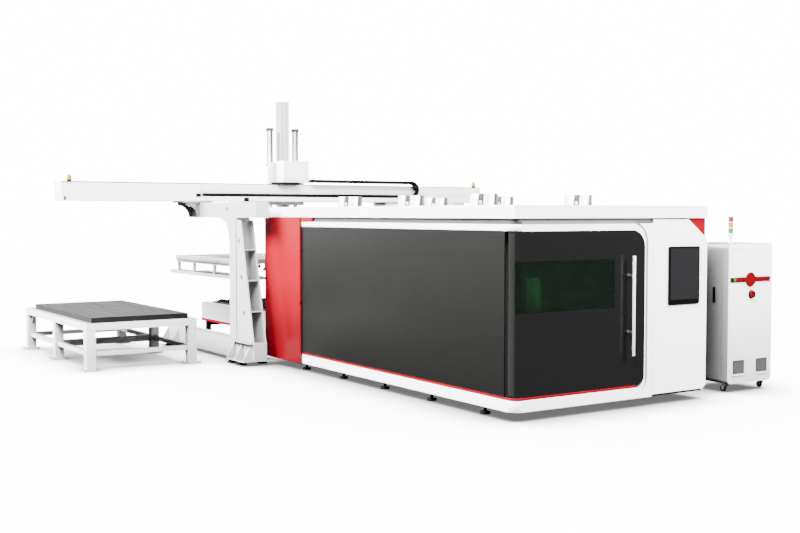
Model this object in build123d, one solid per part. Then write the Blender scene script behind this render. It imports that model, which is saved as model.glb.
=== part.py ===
import os

from build123d import *

# Frame while modelling: X = 0 is the cabin's front face, Y = 0 its near side, Z = 0 the floor (mm)

# Clearances and cutting overrun
RUN_GAP = 0.05
SLIDE_GAP = 1
DOOR_GAP = 4
OVERRUN = 10

# Cabin envelope
CABIN_LENGTH = 6060
CABIN_WIDTH = 3040
SKIRT_BOTTOM = 100
SKIRT_TOP = 240
TRIM_TOP = 268
PANEL_TOP = 2100
CORNICE_TOP = 2178
BAND_TOP = 2239
ROOF_TOP = 2389
CORNER_RADIUS = 110
WALL = 40
TRIM_DEPTH = 20
BAND_INSET = 30
PORTAL_LENGTH = 1145
PORTAL_FRONT = CABIN_LENGTH - PORTAL_LENGTH
BAND_MARGIN = 338
BAND_FRONT = PORTAL_FRONT - BAND_MARGIN

# Side panel and its long window
SIDE_THICK = 12
SIDE_MARGIN = 15
SIDE_REAR = PORTAL_FRONT - SIDE_MARGIN
SIDE_FRONT = 175
WINDOW_LOW = 1200
WINDOW_HIGH = 1766
WINDOW_MARGIN = 60

# Front door, its window, handle and pivots
DOOR_MARGIN = 1068
DOOR_RIGHT = CABIN_WIDTH - DOOR_MARGIN
DOOR_THICK = 40
DOOR_TOP_RADIUS = 200
DOOR_LOW_RADIUS = 120
DOOR_WINDOW_MARGIN = 487
DOOR_WINDOW_RIGHT = DOOR_RIGHT - DOOR_WINDOW_MARGIN
DOOR_WINDOW_RADIUS = 25
PANE_THICK = 14
PIVOT_RADIUS = 20
PIVOT_PLATE_THICK = 30
PIVOT_PLATE_REACH = 245
PIN_LENGTH = 60
HANDLE_MARGIN = 267
HANDLE_Y = DOOR_RIGHT - HANDLE_MARGIN
HANDLE_OUT = 95
HANDLE_RADIUS = 17
HANDLE_LOW = 635
HANDLE_HIGH = 1802
STANDOFF_RADIUS = 10
STANDOFF_HEIGHTS = (907, 1571)

# White front right of the door
RIM_WIDTH = 137
RIM_RIGHT = DOOR_RIGHT + RIM_WIDTH
RIM_GAP = 6
PANEL_SEAM = 4
PANEL_LEFT = RIM_RIGHT + PANEL_SEAM
PANEL_BOTTOM = 130
CHAMFER_WIDTH = 350
CHAMFER_TOP_Y = CABIN_WIDTH - CHAMFER_WIDTH
CHAMFER_SIDE_Z = 1985
CHAMFER_LOW = 50
ACCENT_MARGIN = 68
ACCENT_RIGHT = CABIN_WIDTH - ACCENT_MARGIN
ACCENT_DEPTH = 120
SCREEN_MARGIN = 152
SCREEN_WIDTH = 526
SCREEN_RIGHT = CABIN_WIDTH - SCREEN_MARGIN
SCREEN_LEFT = SCREEN_RIGHT - SCREEN_WIDTH
SCREEN_LOW = 1196
SCREEN_HIGH = 1897
SCREEN_OUT = 22
SCREEN_RADIUS = 18

# Rear portal and its lifting shutter
PORTAL_OUT = 30
PORTAL_WALL = 90
PORTAL_HEAD = 100
REAR_WALL = 50
OPENING_NEAR = 390
OPENING_FAR = CABIN_WIDTH - OPENING_NEAR
OPENING_LOW = 255
OPENING_HIGH = 1450
LIP_OUT = 10
SHUTTER_THICK = 30
SHUTTER_LOW = 1440
SHUTTER_HIGH = 2130
SHUTTER_MARGIN = 60

# Roof tray and exhaust collars
ROOF_SKIN = 25
DUCT_FRONT = 1575
DUCT_REAR_MARGIN = 1220
DUCT_REAR = CABIN_LENGTH - DUCT_REAR_MARGIN
DUCT_X = (-DUCT_FRONT, -(DUCT_FRONT + DUCT_REAR) / 2, -DUCT_REAR)
DUCT_NEAR = 780
DUCT_FAR_MARGIN = 700
DUCT_Y = (DUCT_NEAR, CABIN_WIDTH - DUCT_FAR_MARGIN)
DUCT_RADIUS = 177
DUCT_BORE = 167
DUCT_HEIGHT = 150
DUCT_FLANGE_RADIUS = 190
DUCT_FLANGE_THICK = 12

# Posts, feet
POST_SIZE = 80
POST_FRONT = 330
POST_MARGIN = 115
POST_X = (-POST_FRONT, -PORTAL_FRONT + POST_MARGIN)
POST_INSET = 60
POST_Y = (POST_INSET, CABIN_WIDTH - POST_INSET - POST_SIZE)
FOOT_FRONT = 655
FOOT_REAR_MARGIN = 1098
FOOT_COUNT = 5
FOOT_PITCH = (CABIN_LENGTH - FOOT_REAR_MARGIN - FOOT_FRONT) / (FOOT_COUNT - 1)
FOOT_INSET = 110
FOOT_Y = (FOOT_INSET, CABIN_WIDTH - FOOT_INSET)
FOOT_RADIUS = 60
FOOT_THICK = 30
STEM_RADIUS = 18

# Machine bed, gantry and cutting head
BED_PLATE = 40
BED_FRONT = 600
BED_REAR_MARGIN = 210
BED_REAR = CABIN_LENGTH - BED_REAR_MARGIN
BED_NEAR = 330
BED_WIDTH = 190
BED_TOP = 900
BED_END_TOP = 560
BED_END_THICK = 120
RAIL_WIDTH = 40
RAIL_HEIGHT = 30
RAIL_FRONT = 650
GUIDE_WIDTH = 80
GUIDE_THICK = 30
GUIDE_FRONT = 1000
GANTRY_X = -1180
GANTRY_DEPTH = 260
GANTRY_LOW = 1010
GANTRY_HIGH = 1270
GANTRY_FOOT = 420
GANTRY_OVERHANG = 60
HEAD_OFFSET = 520
HEAD_Y = CABIN_WIDTH / 2 - HEAD_OFFSET
HEAD_WIDTH = 280
HEAD_DEPTH = 130
HEAD_LOW = 1020
HEAD_HIGH = 1620
NOZZLE_LOW = 985
NOZZLE_HIGH = 1060
NOZZLE_TIP = 12
TORCH_RADIUS = 48
TORCH_HIGH = 1520
TORCH_PLATE = 30
TORCH_PLATE_WIDTH = 160

# Pallets, exchange table
PALLET_OUT = 3420
PALLET_REAR = CABIN_LENGTH + PALLET_OUT
PALLET_LENGTH = 3200
PALLET_INSIDE = 1500
PALLET_TRAVEL = PALLET_REAR - PALLET_LENGTH - PALLET_INSIDE
PALLET_NEAR = 570
PALLET_RAIL = 50
PALLET_FRAME = 70
LEVELS = (620, 380)
SLAT_COUNT = 20
SLAT_THICK = 8
SLAT_LIFT = 20
SLAT_VALLEY = 90
SLAT_TIP = 120
SLAT_LAP = 20
TOOTH_COUNT = 10
EXCHANGE_LENGTH = 3510
EXCHANGE_REAR = CABIN_LENGTH + EXCHANGE_LENGTH
EXCHANGE_NEAR = 400
EXCHANGE_WIDTH = 120
EXCHANGE_LOW = 345
EXCHANGE_HIGH = 680
EXCHANGE_END = 80
EXCHANGE_END_TOP = 600
EXCHANGE_TIE = 80
EXCHANGE_LEG = 80
EXCHANGE_LEG_REAR_MARGIN = 170
EXCHANGE_LEG_REAR = EXCHANGE_REAR - EXCHANGE_LEG_REAR_MARGIN
EXCHANGE_LEG_MARGIN = 290
EXCHANGE_LEG_FRONT = CABIN_LENGTH + EXCHANGE_LEG_MARGIN
EXCHANGE_LEG_X = (-EXCHANGE_LEG_REAR, -(EXCHANGE_LEG_REAR + EXCHANGE_LEG_FRONT) / 2, -EXCHANGE_LEG_FRONT)
EXCHANGE_PAD = 130
EXCHANGE_PAD_THICK = 12
DRIVE_MARGIN = 170
DRIVE_X = -CABIN_LENGTH - DRIVE_MARGIN
DRIVE_BOX = 150
DRIVE_BOX_DEPTH = 110
DRIVE_LOW = 480
DRIVE_HIGH = 640
MOTOR_RADIUS = 62
MOTOR_HIGH = 880

# Loader supports; from here to the table X = 0 is the cabin's rear face and lengths run backwards
SUPPORT_NEAR = -400
SUPPORT_FAR = -182
BASE_REAR = 3090
BASE_FRONT = -368
BASE_LOW = 80
BASE_HIGH = 350
SOLE_LOW = 60
SOLE_NEAR = -570
SOLE_FAR = -45
SOLE_FRONT_LENGTH = 620
SOLE_REAR_LENGTH = 500
RIB_THICK = 16
RIB_X = (285, -20, -300, -2620, -3080)
RIB_REACH = 150
RIB_TOP = 325
COLUMN_REAR = 490
COLUMN_FRONT = 210
BUTTRESS_LOW_X = -348
BUTTRESS_HIGH_X = 80
BUTTRESS_TOP = 2190
CHEEK_THICK = 20
SHELF_Z = (800, 1265, 1730)
ARM_REAR = 2090
ARM_FRONT = -460
ARM_LOW = 2230
ARM_HIGH = 2470
KNEE_SIZE = 340
KNEE_LIP = 20
SLOT_Z = (620, 1270, 1920)
SLOT_LENGTH = 90
SLOT_WIDTH = 24
SLOT_DEPTH = 60
SLOT_X = -270
PAD_X = (100, -230, -2840)
PAD_Y = (-480, -135)
PAD_RADIUS = 88
PAD_NECK = 40

# Loader beam
BEAM_REAR = 2040
BEAM_FRONT = 1790
BEAM_LEFT = -2660
BEAM_OUT = 2440
BEAM_RIGHT = CABIN_WIDTH + BEAM_OUT
BEAM_LOW = 2495
BEAM_HIGH = 2795
BEAM_WALL = 14
COVER_FRONT = 1640
COVER_RIGHT = -400
TRAY_LOW = 2500
TRAY_HIGH = 2575
SADDLE_FRONT = 1630
SADDLE_LEFT = -700
SADDLE_KNEE_X = (-2030, -1700)
SADDLE_KNEE_THICK = 40
SADDLE_KNEE_RADIUS = 235
SADDLE_KNEE_LIP = 40
SADDLE_HOLE_RADIUS = 16
SADDLE_HOLE_INSET = 42
BEAM_RAIL_Z = (2530, 2720)
BEAM_RAIL_HIGH = 40
BEAM_RAIL_OUT = 25
BEAM_RAIL_MARGIN = 60
LAMP_X = -1915
LAMP_NEAR_INSET = 195
LAMP_FAR_INSET = 75
LAMP_Y = (BEAM_LEFT + LAMP_NEAR_INSET, BEAM_RIGHT - LAMP_FAR_INSET)
LAMP_RADIUS = 40
LAMP_BASE = 30
LAMP_HIGH = 115

# Cable chain
MAST_OFFSET = 100
MAST_Y = CABIN_WIDTH / 2 - MAST_OFFSET
CHAIN_REAR = 1780
CHAIN_MID = 1725
CHAIN_FRONT = 1665
CHAIN_LOW = 2577
CHAIN_THICK = 55
CHAIN_OUTER = 155
CHAIN_BEND_OFFSET = 2388
CHAIN_BEND_Y = MAST_Y + CHAIN_BEND_OFFSET
CHAIN_LEFT = -290
CHAIN_PLAY = 1680

# Carriage and lift
MAST_X = -2230
MAST_DEPTH = 160
MAST_WIDTH = 180
MAST_LOW = 1580
MAST_HIGH = 4265
MAST_FOOT = 320
MAST_FOOT_THICK = 20
GROOVE_WIDTH = 16
GROOVE_DEPTH = 14
GROOVE_SIDE = 50
PLATE_REAR = 2130
PLATE_FRONT = 2090
PLATE_WIDTH = 700
PLATE_LOW = 2440
PLATE_HIGH = 3190
HOUSING_LEFT_OFFSET = 199
HOUSING_LEFT = MAST_Y - HOUSING_LEFT_OFFSET
HOUSING_RIGHT_OFFSET = 286
HOUSING_RIGHT = MAST_Y + HOUSING_RIGHT_OFFSET
HOUSING_LOW = 2834
HOUSING_HIGH = 3211
CLIP_LENGTH = 60
CLIP_LAP = 40
CLIP_HIGH = 2905
BLOCK_LENGTH = 150
BLOCK_LAP = 5
BLOCK_OFFSET = 250
MAST_BLOCK_Z = (2490, 3060)
MAST_BLOCK_HIGH = 100
CYLINDER_OFFSET = 250
CYLINDER_LOW = 2368
CYLINDER_FLANGE = 32
CYLINDER_FLANGE_RADIUS = 58
CYLINDER_SLIM_RADIUS = 36
CYLINDER_COLLAR_LOW = 3125
CYLINDER_COLLAR = 40
CYLINDER_RADIUS = 55
CYLINDER_TOP = 3750
CYLINDER_CAP = 45
CYLINDER_CAP_RADIUS = 66
CYLINDER_BORE_TOP = 3600
STRAP_Z = (2600, 3000)
STRAP_HIGH = 80
STRAP_WIDTH = 90
ROD_RADIUS = 12
ROD_TOP = 3200

# Suction frame and forks
FRAME_OFFSET = 30
FRAME_Y = CABIN_WIDTH / 2 - FRAME_OFFSET
FRAME_LOW = 1480
FRAME_HIGH = 1560
FRAME_REAR = 3230
FRAME_FRONT = 800
FRAME_REACH = 1690
FRAME_BAR = 80
CROSS_X = (-3190, -2230, -840)
SUCTION_BAR_X = (-2960, -2460, -1960, -1300)
SUCTION_BAR = 50
SUCTION_REACH = 620
CUP_OFFSETS = (-560, -190, 190, 560)
CUP_LOW = 1302
CUP_RIM_RADIUS = 52
CUP_NECK_RADIUS = 20
CUP_HIGH = 1350
CUP_STEM_RADIUS = 11
FORK_REAR = 3520
FORK_FRONT = 550
FORK_OFFSET = 1640
FORK_BAR = 60
FORK_LOW = 1235
FORK_TINE_THICK = 25
FORK_TINE_WIDTH = 40
FORK_TIP_OFFSET = 980
FORK_TINE_X = (-3420, -3140, -2860, -2580, -2300, -2020, -1740, -1460, -1180, -900, -620)
FORK_POST_X = (-3190, -2500, -1640, -840)
FORK_POST = 46
FORK_TOP_HIGH = 40

# Loading table and sheets
TABLE_LENGTH = 3330
TABLE_FRONT = 410
TABLE_REAR = TABLE_FRONT + TABLE_LENGTH
TABLE_GAP = 985
TABLE_WIDTH = 1705
TABLE_FAR = -TABLE_GAP
TABLE_NEAR = TABLE_FAR - TABLE_WIDTH
TABLE_RAIL = 100
TABLE_RAIL_LOW = 593
TABLE_TOP = 695
TABLE_CROSS_SHARES = (0.23, 0.415, 0.6, 0.79)
TABLE_CROSS = 80
TABLE_LEG = 135
TABLE_LEG_INSET = 70
TABLE_MIDDLE = (TABLE_REAR + TABLE_FRONT) / 2
TABLE_LEG_X = (TABLE_LEG_INSET - TABLE_REAR, -TABLE_MIDDLE, -TABLE_FRONT - TABLE_LEG_INSET)
TABLE_LOW_RAIL = 216
TABLE_LOW_RAIL_HIGH = 285
TABLE_LOW_RAIL_WIDTH = 60
FOOTPLATE = 230
FOOTPLATE_THICK = 16
ANCHOR_RADIUS = 9
ANCHOR_SPACING = 190
GUSSET = 150
GUSSET_THICK = 14
SHEET_LENGTH = 3000
SHEET_SHIFT = 85
SHEET_REAR = TABLE_MIDDLE + SHEET_LENGTH / 2 - SHEET_SHIFT
SHEET_WIDTH = 1500
SHEET_MARGIN = 96
SHEET_NEAR = TABLE_NEAR + SHEET_MARGIN
SHEET_TOP = 773

# Control cabinet
CABINET_FRONT = 120
CABINET_DEPTH = 760
CABINET_GAP = 540
CABINET_WIDTH = 840
CABINET_NEAR = CABIN_WIDTH + CABINET_GAP
CABINET_FAR = CABINET_NEAR + CABINET_WIDTH
CABINET_LOW = 110
CABINET_HIGH = 1910
CABINET_RADIUS = 60
CABINET_WALL = 24
CABINET_DOOR_FRONT = 215
CABINET_DOOR_WIDTH = 500
CABINET_DOOR_LOW = 205
CABINET_DOOR_HIGH = 1815
CABINET_DOOR_THICK = 20
HINGE_INSET = 14
HINGE_RADIUS = 6
HINGE_REACH = 22
LATCH_X = -348
LATCH_LOW = 1154
LATCH_HIGH = 1348
LATCH_WIDTH = 30
LATCH_OUT = 14
BAR_LEFT_MARGIN = 30
BAR_LEFT = CABINET_NEAR + BAR_LEFT_MARGIN
BAR_RIGHT_MARGIN = 45
BAR_RIGHT = CABINET_FAR - BAR_RIGHT_MARGIN
BAR_Z = 1446
BAR_HALF = 30
BAR_OUT = 10
DISC_OFFSET = 10
DISC_Y = (CABINET_NEAR + CABINET_FAR) / 2 - DISC_OFFSET
DISC_RADIUS = 90
DISC_OUT = 16
KNOB_OFFSET = 15
KNOB_Y = (CABINET_NEAR + CABINET_FAR) / 2 + KNOB_OFFSET
KNOB_Z = 1254
KNOB_RADIUS = 46
KNOB_OUT = 34
KNOB_GRIP = 22
KNOB_GRIP_OUT = 24
SHAFT_RADIUS = 8
VENT_MARGINS = (102, 546)
VENT_WIDTH = 200
VENT_LOW = 220
VENT_HIGH = 410
VENT_OUT = 12
TOWER_X = -200
TOWER_MARGIN = 120
TOWER_Y = CABINET_NEAR + TOWER_MARGIN
TOWER_BASE_RADIUS = 32
TOWER_BASE = 24
TOWER_STEM_RADIUS = 11
TOWER_LENS_LOW = 2040
TOWER_LENS_HIGH = 72
TOWER_LENS_RADIUS = 33
TOWER_LENS_COUNT = 3
CASTER_INSET = 95
CASTER_X = (-CABINET_FRONT - CASTER_INSET, CASTER_INSET - CABINET_FRONT - CABINET_DEPTH)
CASTER_SIDE = 70
CASTER_Y = (CABINET_NEAR + CASTER_SIDE, CABINET_FAR - CASTER_SIDE)
CASTER_RADIUS = 42
CASTER_WIDTH = 30
CASTER_TRAIL = 30
CASTER_CHEEK = 5
CASTER_PLATE = 76
CASTER_PLATE_THICK = 8
CASTER_AXLE_RADIUS = 7


def block(x0, x1, y0, y1, z0, z1):
    middle = Pos((x0 + x1) / 2, (y0 + y1) / 2, (z0 + z1) / 2)
    return middle * Box(x1 - x0, y1 - y0, z1 - z0)


def upright(x, y, z0, z1, radius):
    return Pos(x, y, (z0 + z1) / 2) * Cylinder(radius, z1 - z0)


def rod_x(x0, x1, y, z, radius):
    return Pos((x0 + x1) / 2, y, z) * Rot(0, 90, 0) * Cylinder(radius, x1 - x0)


def rod_y(x, y0, y1, z, radius):
    return Pos(x, (y0 + y1) / 2, z) * Rot(90, 0, 0) * Cylinder(radius, y1 - y0)


def front_plate(sketch, x0, x1):
    return extrude(Plane.YZ.offset(x0) * sketch, x1 - x0)


def side_plate(points, y0, y1):
    face = Plane.XZ.offset(-y0) * make_face(Polyline(*points, close=True))
    return extrude(face, -(y1 - y0))


def join(pieces):
    whole = pieces[0]
    for piece in pieces[1:]:
        whole = whole + piece
    return whole


def mirrored(shape):
    plane = Plane.XZ.offset(-CABIN_WIDTH / 2)
    return mirror(shape, plane)


# The loader and the table stand behind the cabin
def behind_cabin(shape):
    return Pos(-CABIN_LENGTH, 0, 0) * shape


# Cabin footprint drawn in by an inset, its near front corner rounded
def plan(inset):
    face = Rectangle(CABIN_LENGTH - inset, CABIN_WIDTH - 2 * inset)
    face = Pos(-(CABIN_LENGTH + inset) / 2, CABIN_WIDTH / 2) * face
    corner = face.vertices().group_by(Axis.X)[-1].sort_by(Axis.Y)[0]
    return fillet(corner, CORNER_RADIUS - inset)


def ring(inset, wall, z0, z1):
    return Pos(0, 0, z0) * extrude(plan(inset) - plan(inset + wall), z1 - z0)


# Front opening or door outline with only its right corners rounded
def right_rounded(y0, y1, z0, z1, low_radius, high_radius):
    face = Pos((y0 + y1) / 2, (z0 + z1) / 2) * Rectangle(y1 - y0, z1 - z0)
    face = fillet(face.vertices().group_by(Axis.X)[-1].sort_by(Axis.Y)[0], low_radius)
    corner = face.vertices().filter_by(lambda v: v.X > y1 - SLIDE_GAP and v.Y > z1 - SLIDE_GAP)
    return fillet(corner, high_radius)


def in_front_of_portal():
    return block(-PORTAL_FRONT, OVERRUN, -OVERRUN, CABIN_WIDTH + OVERRUN, 0, ROOF_TOP)


def machine_bed():
    plate = Pos(0, 0, SKIRT_BOTTOM) * extrude(plan(WALL), BED_PLATE)
    plate = plate & in_front_of_portal()
    inner = PORTAL_WALL - PORTAL_OUT
    tail = block(-CABIN_LENGTH + REAR_WALL, -PORTAL_FRONT, inner, CABIN_WIDTH - inner,
                 SKIRT_BOTTOM, SKIRT_BOTTOM + BED_PLATE)
    low = SKIRT_BOTTOM + BED_PLATE
    near = block(-BED_REAR, -BED_FRONT, BED_NEAR, BED_NEAR + BED_WIDTH, low, BED_TOP)
    end = block(-BED_FRONT - BED_END_THICK, -BED_FRONT, BED_NEAR + BED_WIDTH,
                CABIN_WIDTH - BED_NEAR - BED_WIDTH, low, BED_END_TOP)
    return join([plate, tail, near, mirrored(near), end])


# Rails for the gantry and the two levels of pallet guides
def guide_rails():
    middle = BED_NEAR + BED_WIDTH / 2
    rail = block(-BED_REAR, -RAIL_FRONT, middle - RAIL_WIDTH / 2, middle + RAIL_WIDTH / 2,
                 BED_TOP, BED_TOP + RAIL_HEIGHT)
    solids = [rail, mirrored(rail)]
    near = EXCHANGE_NEAR + EXCHANGE_WIDTH
    for level in LEVELS:
        guide = block(-PALLET_REAR, -GUIDE_FRONT, near, near + GUIDE_WIDTH, level - GUIDE_THICK, level)
        solids += [guide, mirrored(guide)]
    return Compound(children=solids)


def gantry_beam():
    near = BED_NEAR + BED_WIDTH / 2
    foot_low = BED_TOP + RAIL_HEIGHT
    x0 = GANTRY_X - GANTRY_DEPTH / 2
    beam = block(x0, x0 + GANTRY_DEPTH, near - GANTRY_OVERHANG, CABIN_WIDTH - near + GANTRY_OVERHANG,
                 GANTRY_LOW, GANTRY_HIGH)
    foot = block(GANTRY_X - GANTRY_FOOT / 2, GANTRY_X + GANTRY_FOOT / 2, near - GANTRY_OVERHANG,
                 near + GANTRY_OVERHANG, foot_low, GANTRY_LOW)
    return join([beam, foot, mirrored(foot)])


def head_front():
    return GANTRY_X + GANTRY_DEPTH / 2


def head_carriage():
    x0 = head_front()
    return block(x0, x0 + HEAD_DEPTH, HEAD_Y - HEAD_WIDTH / 2, HEAD_Y + HEAD_WIDTH / 2, HEAD_LOW, HEAD_HIGH)


def cutting_head():
    x0 = head_front() + HEAD_DEPTH
    half = TORCH_PLATE_WIDTH / 2
    low = NOZZLE_HIGH + TORCH_RADIUS
    plate = block(x0, x0 + TORCH_PLATE, HEAD_Y - half, HEAD_Y + half, low, TORCH_HIGH)
    axis = x0 + TORCH_PLATE + TORCH_RADIUS - SLIDE_GAP
    body = upright(axis, HEAD_Y, NOZZLE_HIGH, TORCH_HIGH, TORCH_RADIUS)
    nozzle = Pos(axis, HEAD_Y, (NOZZLE_LOW + NOZZLE_HIGH) / 2)
    nozzle = nozzle * Cone(NOZZLE_TIP, TORCH_RADIUS, NOZZLE_HIGH - NOZZLE_LOW)
    return join([plate, body, nozzle])


# One toothed slat outline across the pallet
def slat_face(level):
    y0 = PALLET_NEAR + PALLET_RAIL - SLAT_LAP
    y1 = CABIN_WIDTH - y0
    pitch = (y1 - y0) / TOOTH_COUNT
    points = [(y0, level + SLAT_LIFT), (y0, level + SLAT_VALLEY)]
    for tooth in range(TOOTH_COUNT):
        points.append((y0 + pitch * (tooth + 0.5), level + SLAT_TIP))
        points.append((y0 + pitch * (tooth + 1), level + SLAT_VALLEY))
    points.append((y1, level + SLAT_LIFT))
    return make_face(Polyline(*points, close=True))


def pallet(level, rear):
    x0 = -rear
    x1 = x0 + PALLET_LENGTH
    high = level + PALLET_FRAME
    near = block(x0, x1, PALLET_NEAR, PALLET_NEAR + PALLET_RAIL, level, high)
    end = block(x0, x0 + PALLET_RAIL, PALLET_NEAR, CABIN_WIDTH - PALLET_NEAR, level, high)
    pieces = [near, mirrored(near), end, Pos(PALLET_LENGTH - PALLET_RAIL, 0, 0) * end]
    slat = front_plate(slat_face(level), 0, SLAT_THICK)
    pitch = PALLET_LENGTH / (SLAT_COUNT + 1)
    for place in range(SLAT_COUNT):
        pieces.append(Pos(x0 + pitch * (place + 1), 0, 0) * slat)
    return join(pieces)


def upper_pallet():
    return pallet(LEVELS[0], PALLET_REAR)


def lower_pallet():
    return pallet(LEVELS[1], PALLET_REAR - PALLET_TRAVEL)


def exchange_frame():
    near = block(-EXCHANGE_REAR, -CABIN_LENGTH, EXCHANGE_NEAR, EXCHANGE_NEAR + EXCHANGE_WIDTH,
                 EXCHANGE_LOW, EXCHANGE_HIGH)
    inner = EXCHANGE_NEAR + EXCHANGE_WIDTH
    end = block(-EXCHANGE_REAR, -EXCHANGE_REAR + EXCHANGE_END, inner, CABIN_WIDTH - inner,
                EXCHANGE_LOW, EXCHANGE_END_TOP)
    return join([near, mirrored(near), end])


def exchange_legs():
    half = EXCHANGE_LEG / 2
    pad = EXCHANGE_PAD / 2
    y = EXCHANGE_NEAR + EXCHANGE_WIDTH / 2
    frames = []
    for x in EXCHANGE_LEG_X:
        leg = block(x - half, x + half, y - half, y + half, 0, EXCHANGE_LOW)
        sole = block(x - pad, x + pad, y - pad, y + pad, 0, EXCHANGE_PAD_THICK)
        leg = leg + sole
        tie = block(x - half, x + half, y, CABIN_WIDTH - y, EXCHANGE_LOW - EXCHANGE_TIE, EXCHANGE_LOW)
        frames.append(join([leg, tie, mirrored(leg)]))
    return Compound(children=frames)


def pallet_drive():
    half = DRIVE_BOX / 2
    y0 = EXCHANGE_NEAR - DRIVE_BOX_DEPTH
    gearbox = block(DRIVE_X - half, DRIVE_X + half, y0, EXCHANGE_NEAR, DRIVE_LOW, DRIVE_HIGH)
    motor = upright(DRIVE_X, EXCHANGE_NEAR - MOTOR_RADIUS, DRIVE_HIGH, MOTOR_HIGH, MOTOR_RADIUS)
    motor = Pos(0, SLIDE_GAP - MOTOR_RADIUS / 2, 0) * motor
    return gearbox + motor


def cabin_skirt():
    whole = ring(0, WALL, SKIRT_BOTTOM, SKIRT_TOP) & in_front_of_portal()
    return whole - block(-WALL, OVERRUN, PANEL_LEFT, CABIN_WIDTH + OVERRUN, 0, ROOF_TOP)


# Red line that runs along the near side, round the corner and under the door
def skirt_trim():
    whole = ring(0, TRIM_DEPTH, SKIRT_TOP, TRIM_TOP) & in_front_of_portal()
    end = DOOR_RIGHT - DOOR_LOW_RADIUS
    return whole & block(-PORTAL_FRONT, OVERRUN, -OVERRUN, end, 0, PANEL_TOP)


def cabin_posts():
    solids = []
    for x in POST_X:
        for y in POST_Y:
            solids.append(block(x, x + POST_SIZE, y, y + POST_SIZE, SKIRT_BOTTOM + BED_PLATE, CORNICE_TOP))
    return Compound(children=solids)


def side_window_space(depth):
    return block(-SIDE_REAR + WINDOW_MARGIN, -SIDE_FRONT, 0, depth, WINDOW_LOW, WINDOW_HIGH)


def side_panel():
    panel = block(-SIDE_REAR, -SIDE_FRONT, 0, SIDE_THICK, TRIM_TOP, PANEL_TOP)
    return panel - side_window_space(SIDE_THICK)


def side_window():
    return side_window_space(SIDE_THICK)


def side_cornice():
    whole = ring(0, WALL, PANEL_TOP, CORNICE_TOP) & in_front_of_portal()
    return whole & block(-PORTAL_FRONT, OVERRUN, -OVERRUN, CORNER_RADIUS, 0, ROOF_TOP)


def upper_band():
    whole = ring(BAND_INSET, WALL, CORNICE_TOP, BAND_TOP)
    whole = whole & block(-BAND_FRONT, OVERRUN, -OVERRUN, CABIN_WIDTH + OVERRUN, 0, ROOF_TOP)
    return whole - block(-WALL, OVERRUN, PANEL_LEFT, CABIN_WIDTH, 0, ROOF_TOP)


def front_rim():
    y0 = CORNER_RADIUS
    outer = Pos((y0 + RIM_RIGHT) / 2, (SKIRT_TOP + CORNICE_TOP) / 2)
    outer = outer * Rectangle(RIM_RIGHT - y0, CORNICE_TOP - SKIRT_TOP)
    opening = right_rounded(0, DOOR_RIGHT + RIM_GAP, SKIRT_TOP, PANEL_TOP,
                            DOOR_LOW_RADIUS + RIM_GAP, DOOR_TOP_RADIUS + RIM_GAP)
    plate = front_plate(outer - opening, -WALL, 0)
    return plate - block(-TRIM_DEPTH, OVERRUN, 0, DOOR_RIGHT - DOOR_LOW_RADIUS, 0, TRIM_TOP)


def front_panel():
    right = CABIN_WIDTH
    points = [(PANEL_LEFT, PANEL_BOTTOM), (right - CHAMFER_LOW, PANEL_BOTTOM),
              (right, PANEL_BOTTOM + CHAMFER_LOW), (right, CHAMFER_SIDE_Z),
              (CHAMFER_TOP_Y, BAND_TOP), (PANEL_LEFT, BAND_TOP)]
    return front_plate(make_face(Polyline(*points, close=True)), -WALL, 0)


def corner_accent():
    points = [(CHAMFER_TOP_Y, CHAMFER_SIDE_Z), (ACCENT_RIGHT, CHAMFER_SIDE_Z),
              (ACCENT_RIGHT, BAND_TOP), (CHAMFER_TOP_Y, BAND_TOP)]
    return front_plate(make_face(Polyline(*points, close=True)), -ACCENT_DEPTH, -WALL) - upper_band()


def far_panel():
    return block(-PORTAL_FRONT, -WALL, CABIN_WIDTH - WALL, CABIN_WIDTH, SKIRT_TOP, CORNICE_TOP)


def rear_portal():
    rear = -CABIN_LENGTH
    inner = PORTAL_WALL - PORTAL_OUT
    near = block(rear, -PORTAL_FRONT, -PORTAL_OUT, inner, SKIRT_BOTTOM, BAND_TOP)
    head = block(rear, -PORTAL_FRONT, inner, CABIN_WIDTH - inner, BAND_TOP - PORTAL_HEAD, BAND_TOP)
    wall = block(rear, rear + REAR_WALL, inner, CABIN_WIDTH - inner, SKIRT_BOTTOM, BAND_TOP - PORTAL_HEAD)
    wall = wall - block(rear - OVERRUN, rear + REAR_WALL + OVERRUN, OPENING_NEAR, OPENING_FAR,
                        OPENING_LOW, OPENING_HIGH)
    lip = block(-PORTAL_FRONT, -BAND_FRONT, -LIP_OUT, BAND_INSET, CORNICE_TOP, BAND_TOP)
    return join([near, mirrored(near), head, wall, lip])


def rear_shutter():
    x0 = -CABIN_LENGTH + REAR_WALL
    return block(x0, x0 + SHUTTER_THICK, OPENING_NEAR - SHUTTER_MARGIN, OPENING_FAR + SHUTTER_MARGIN,
                 SHUTTER_LOW, SHUTTER_HIGH)


def roof():
    slab = block(-CABIN_LENGTH, 0, 0, CABIN_WIDTH, BAND_TOP, ROOF_TOP)
    inner = 2 * WALL
    slab = slab - block(-CABIN_LENGTH + inner, -inner, inner, CABIN_WIDTH - inner,
                        BAND_TOP, ROOF_TOP - ROOF_SKIN)
    for x in DUCT_X:
        for y in DUCT_Y:
            slab = slab - upright(x, y, BAND_TOP, ROOF_TOP + OVERRUN, DUCT_BORE)
    return slab


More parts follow.
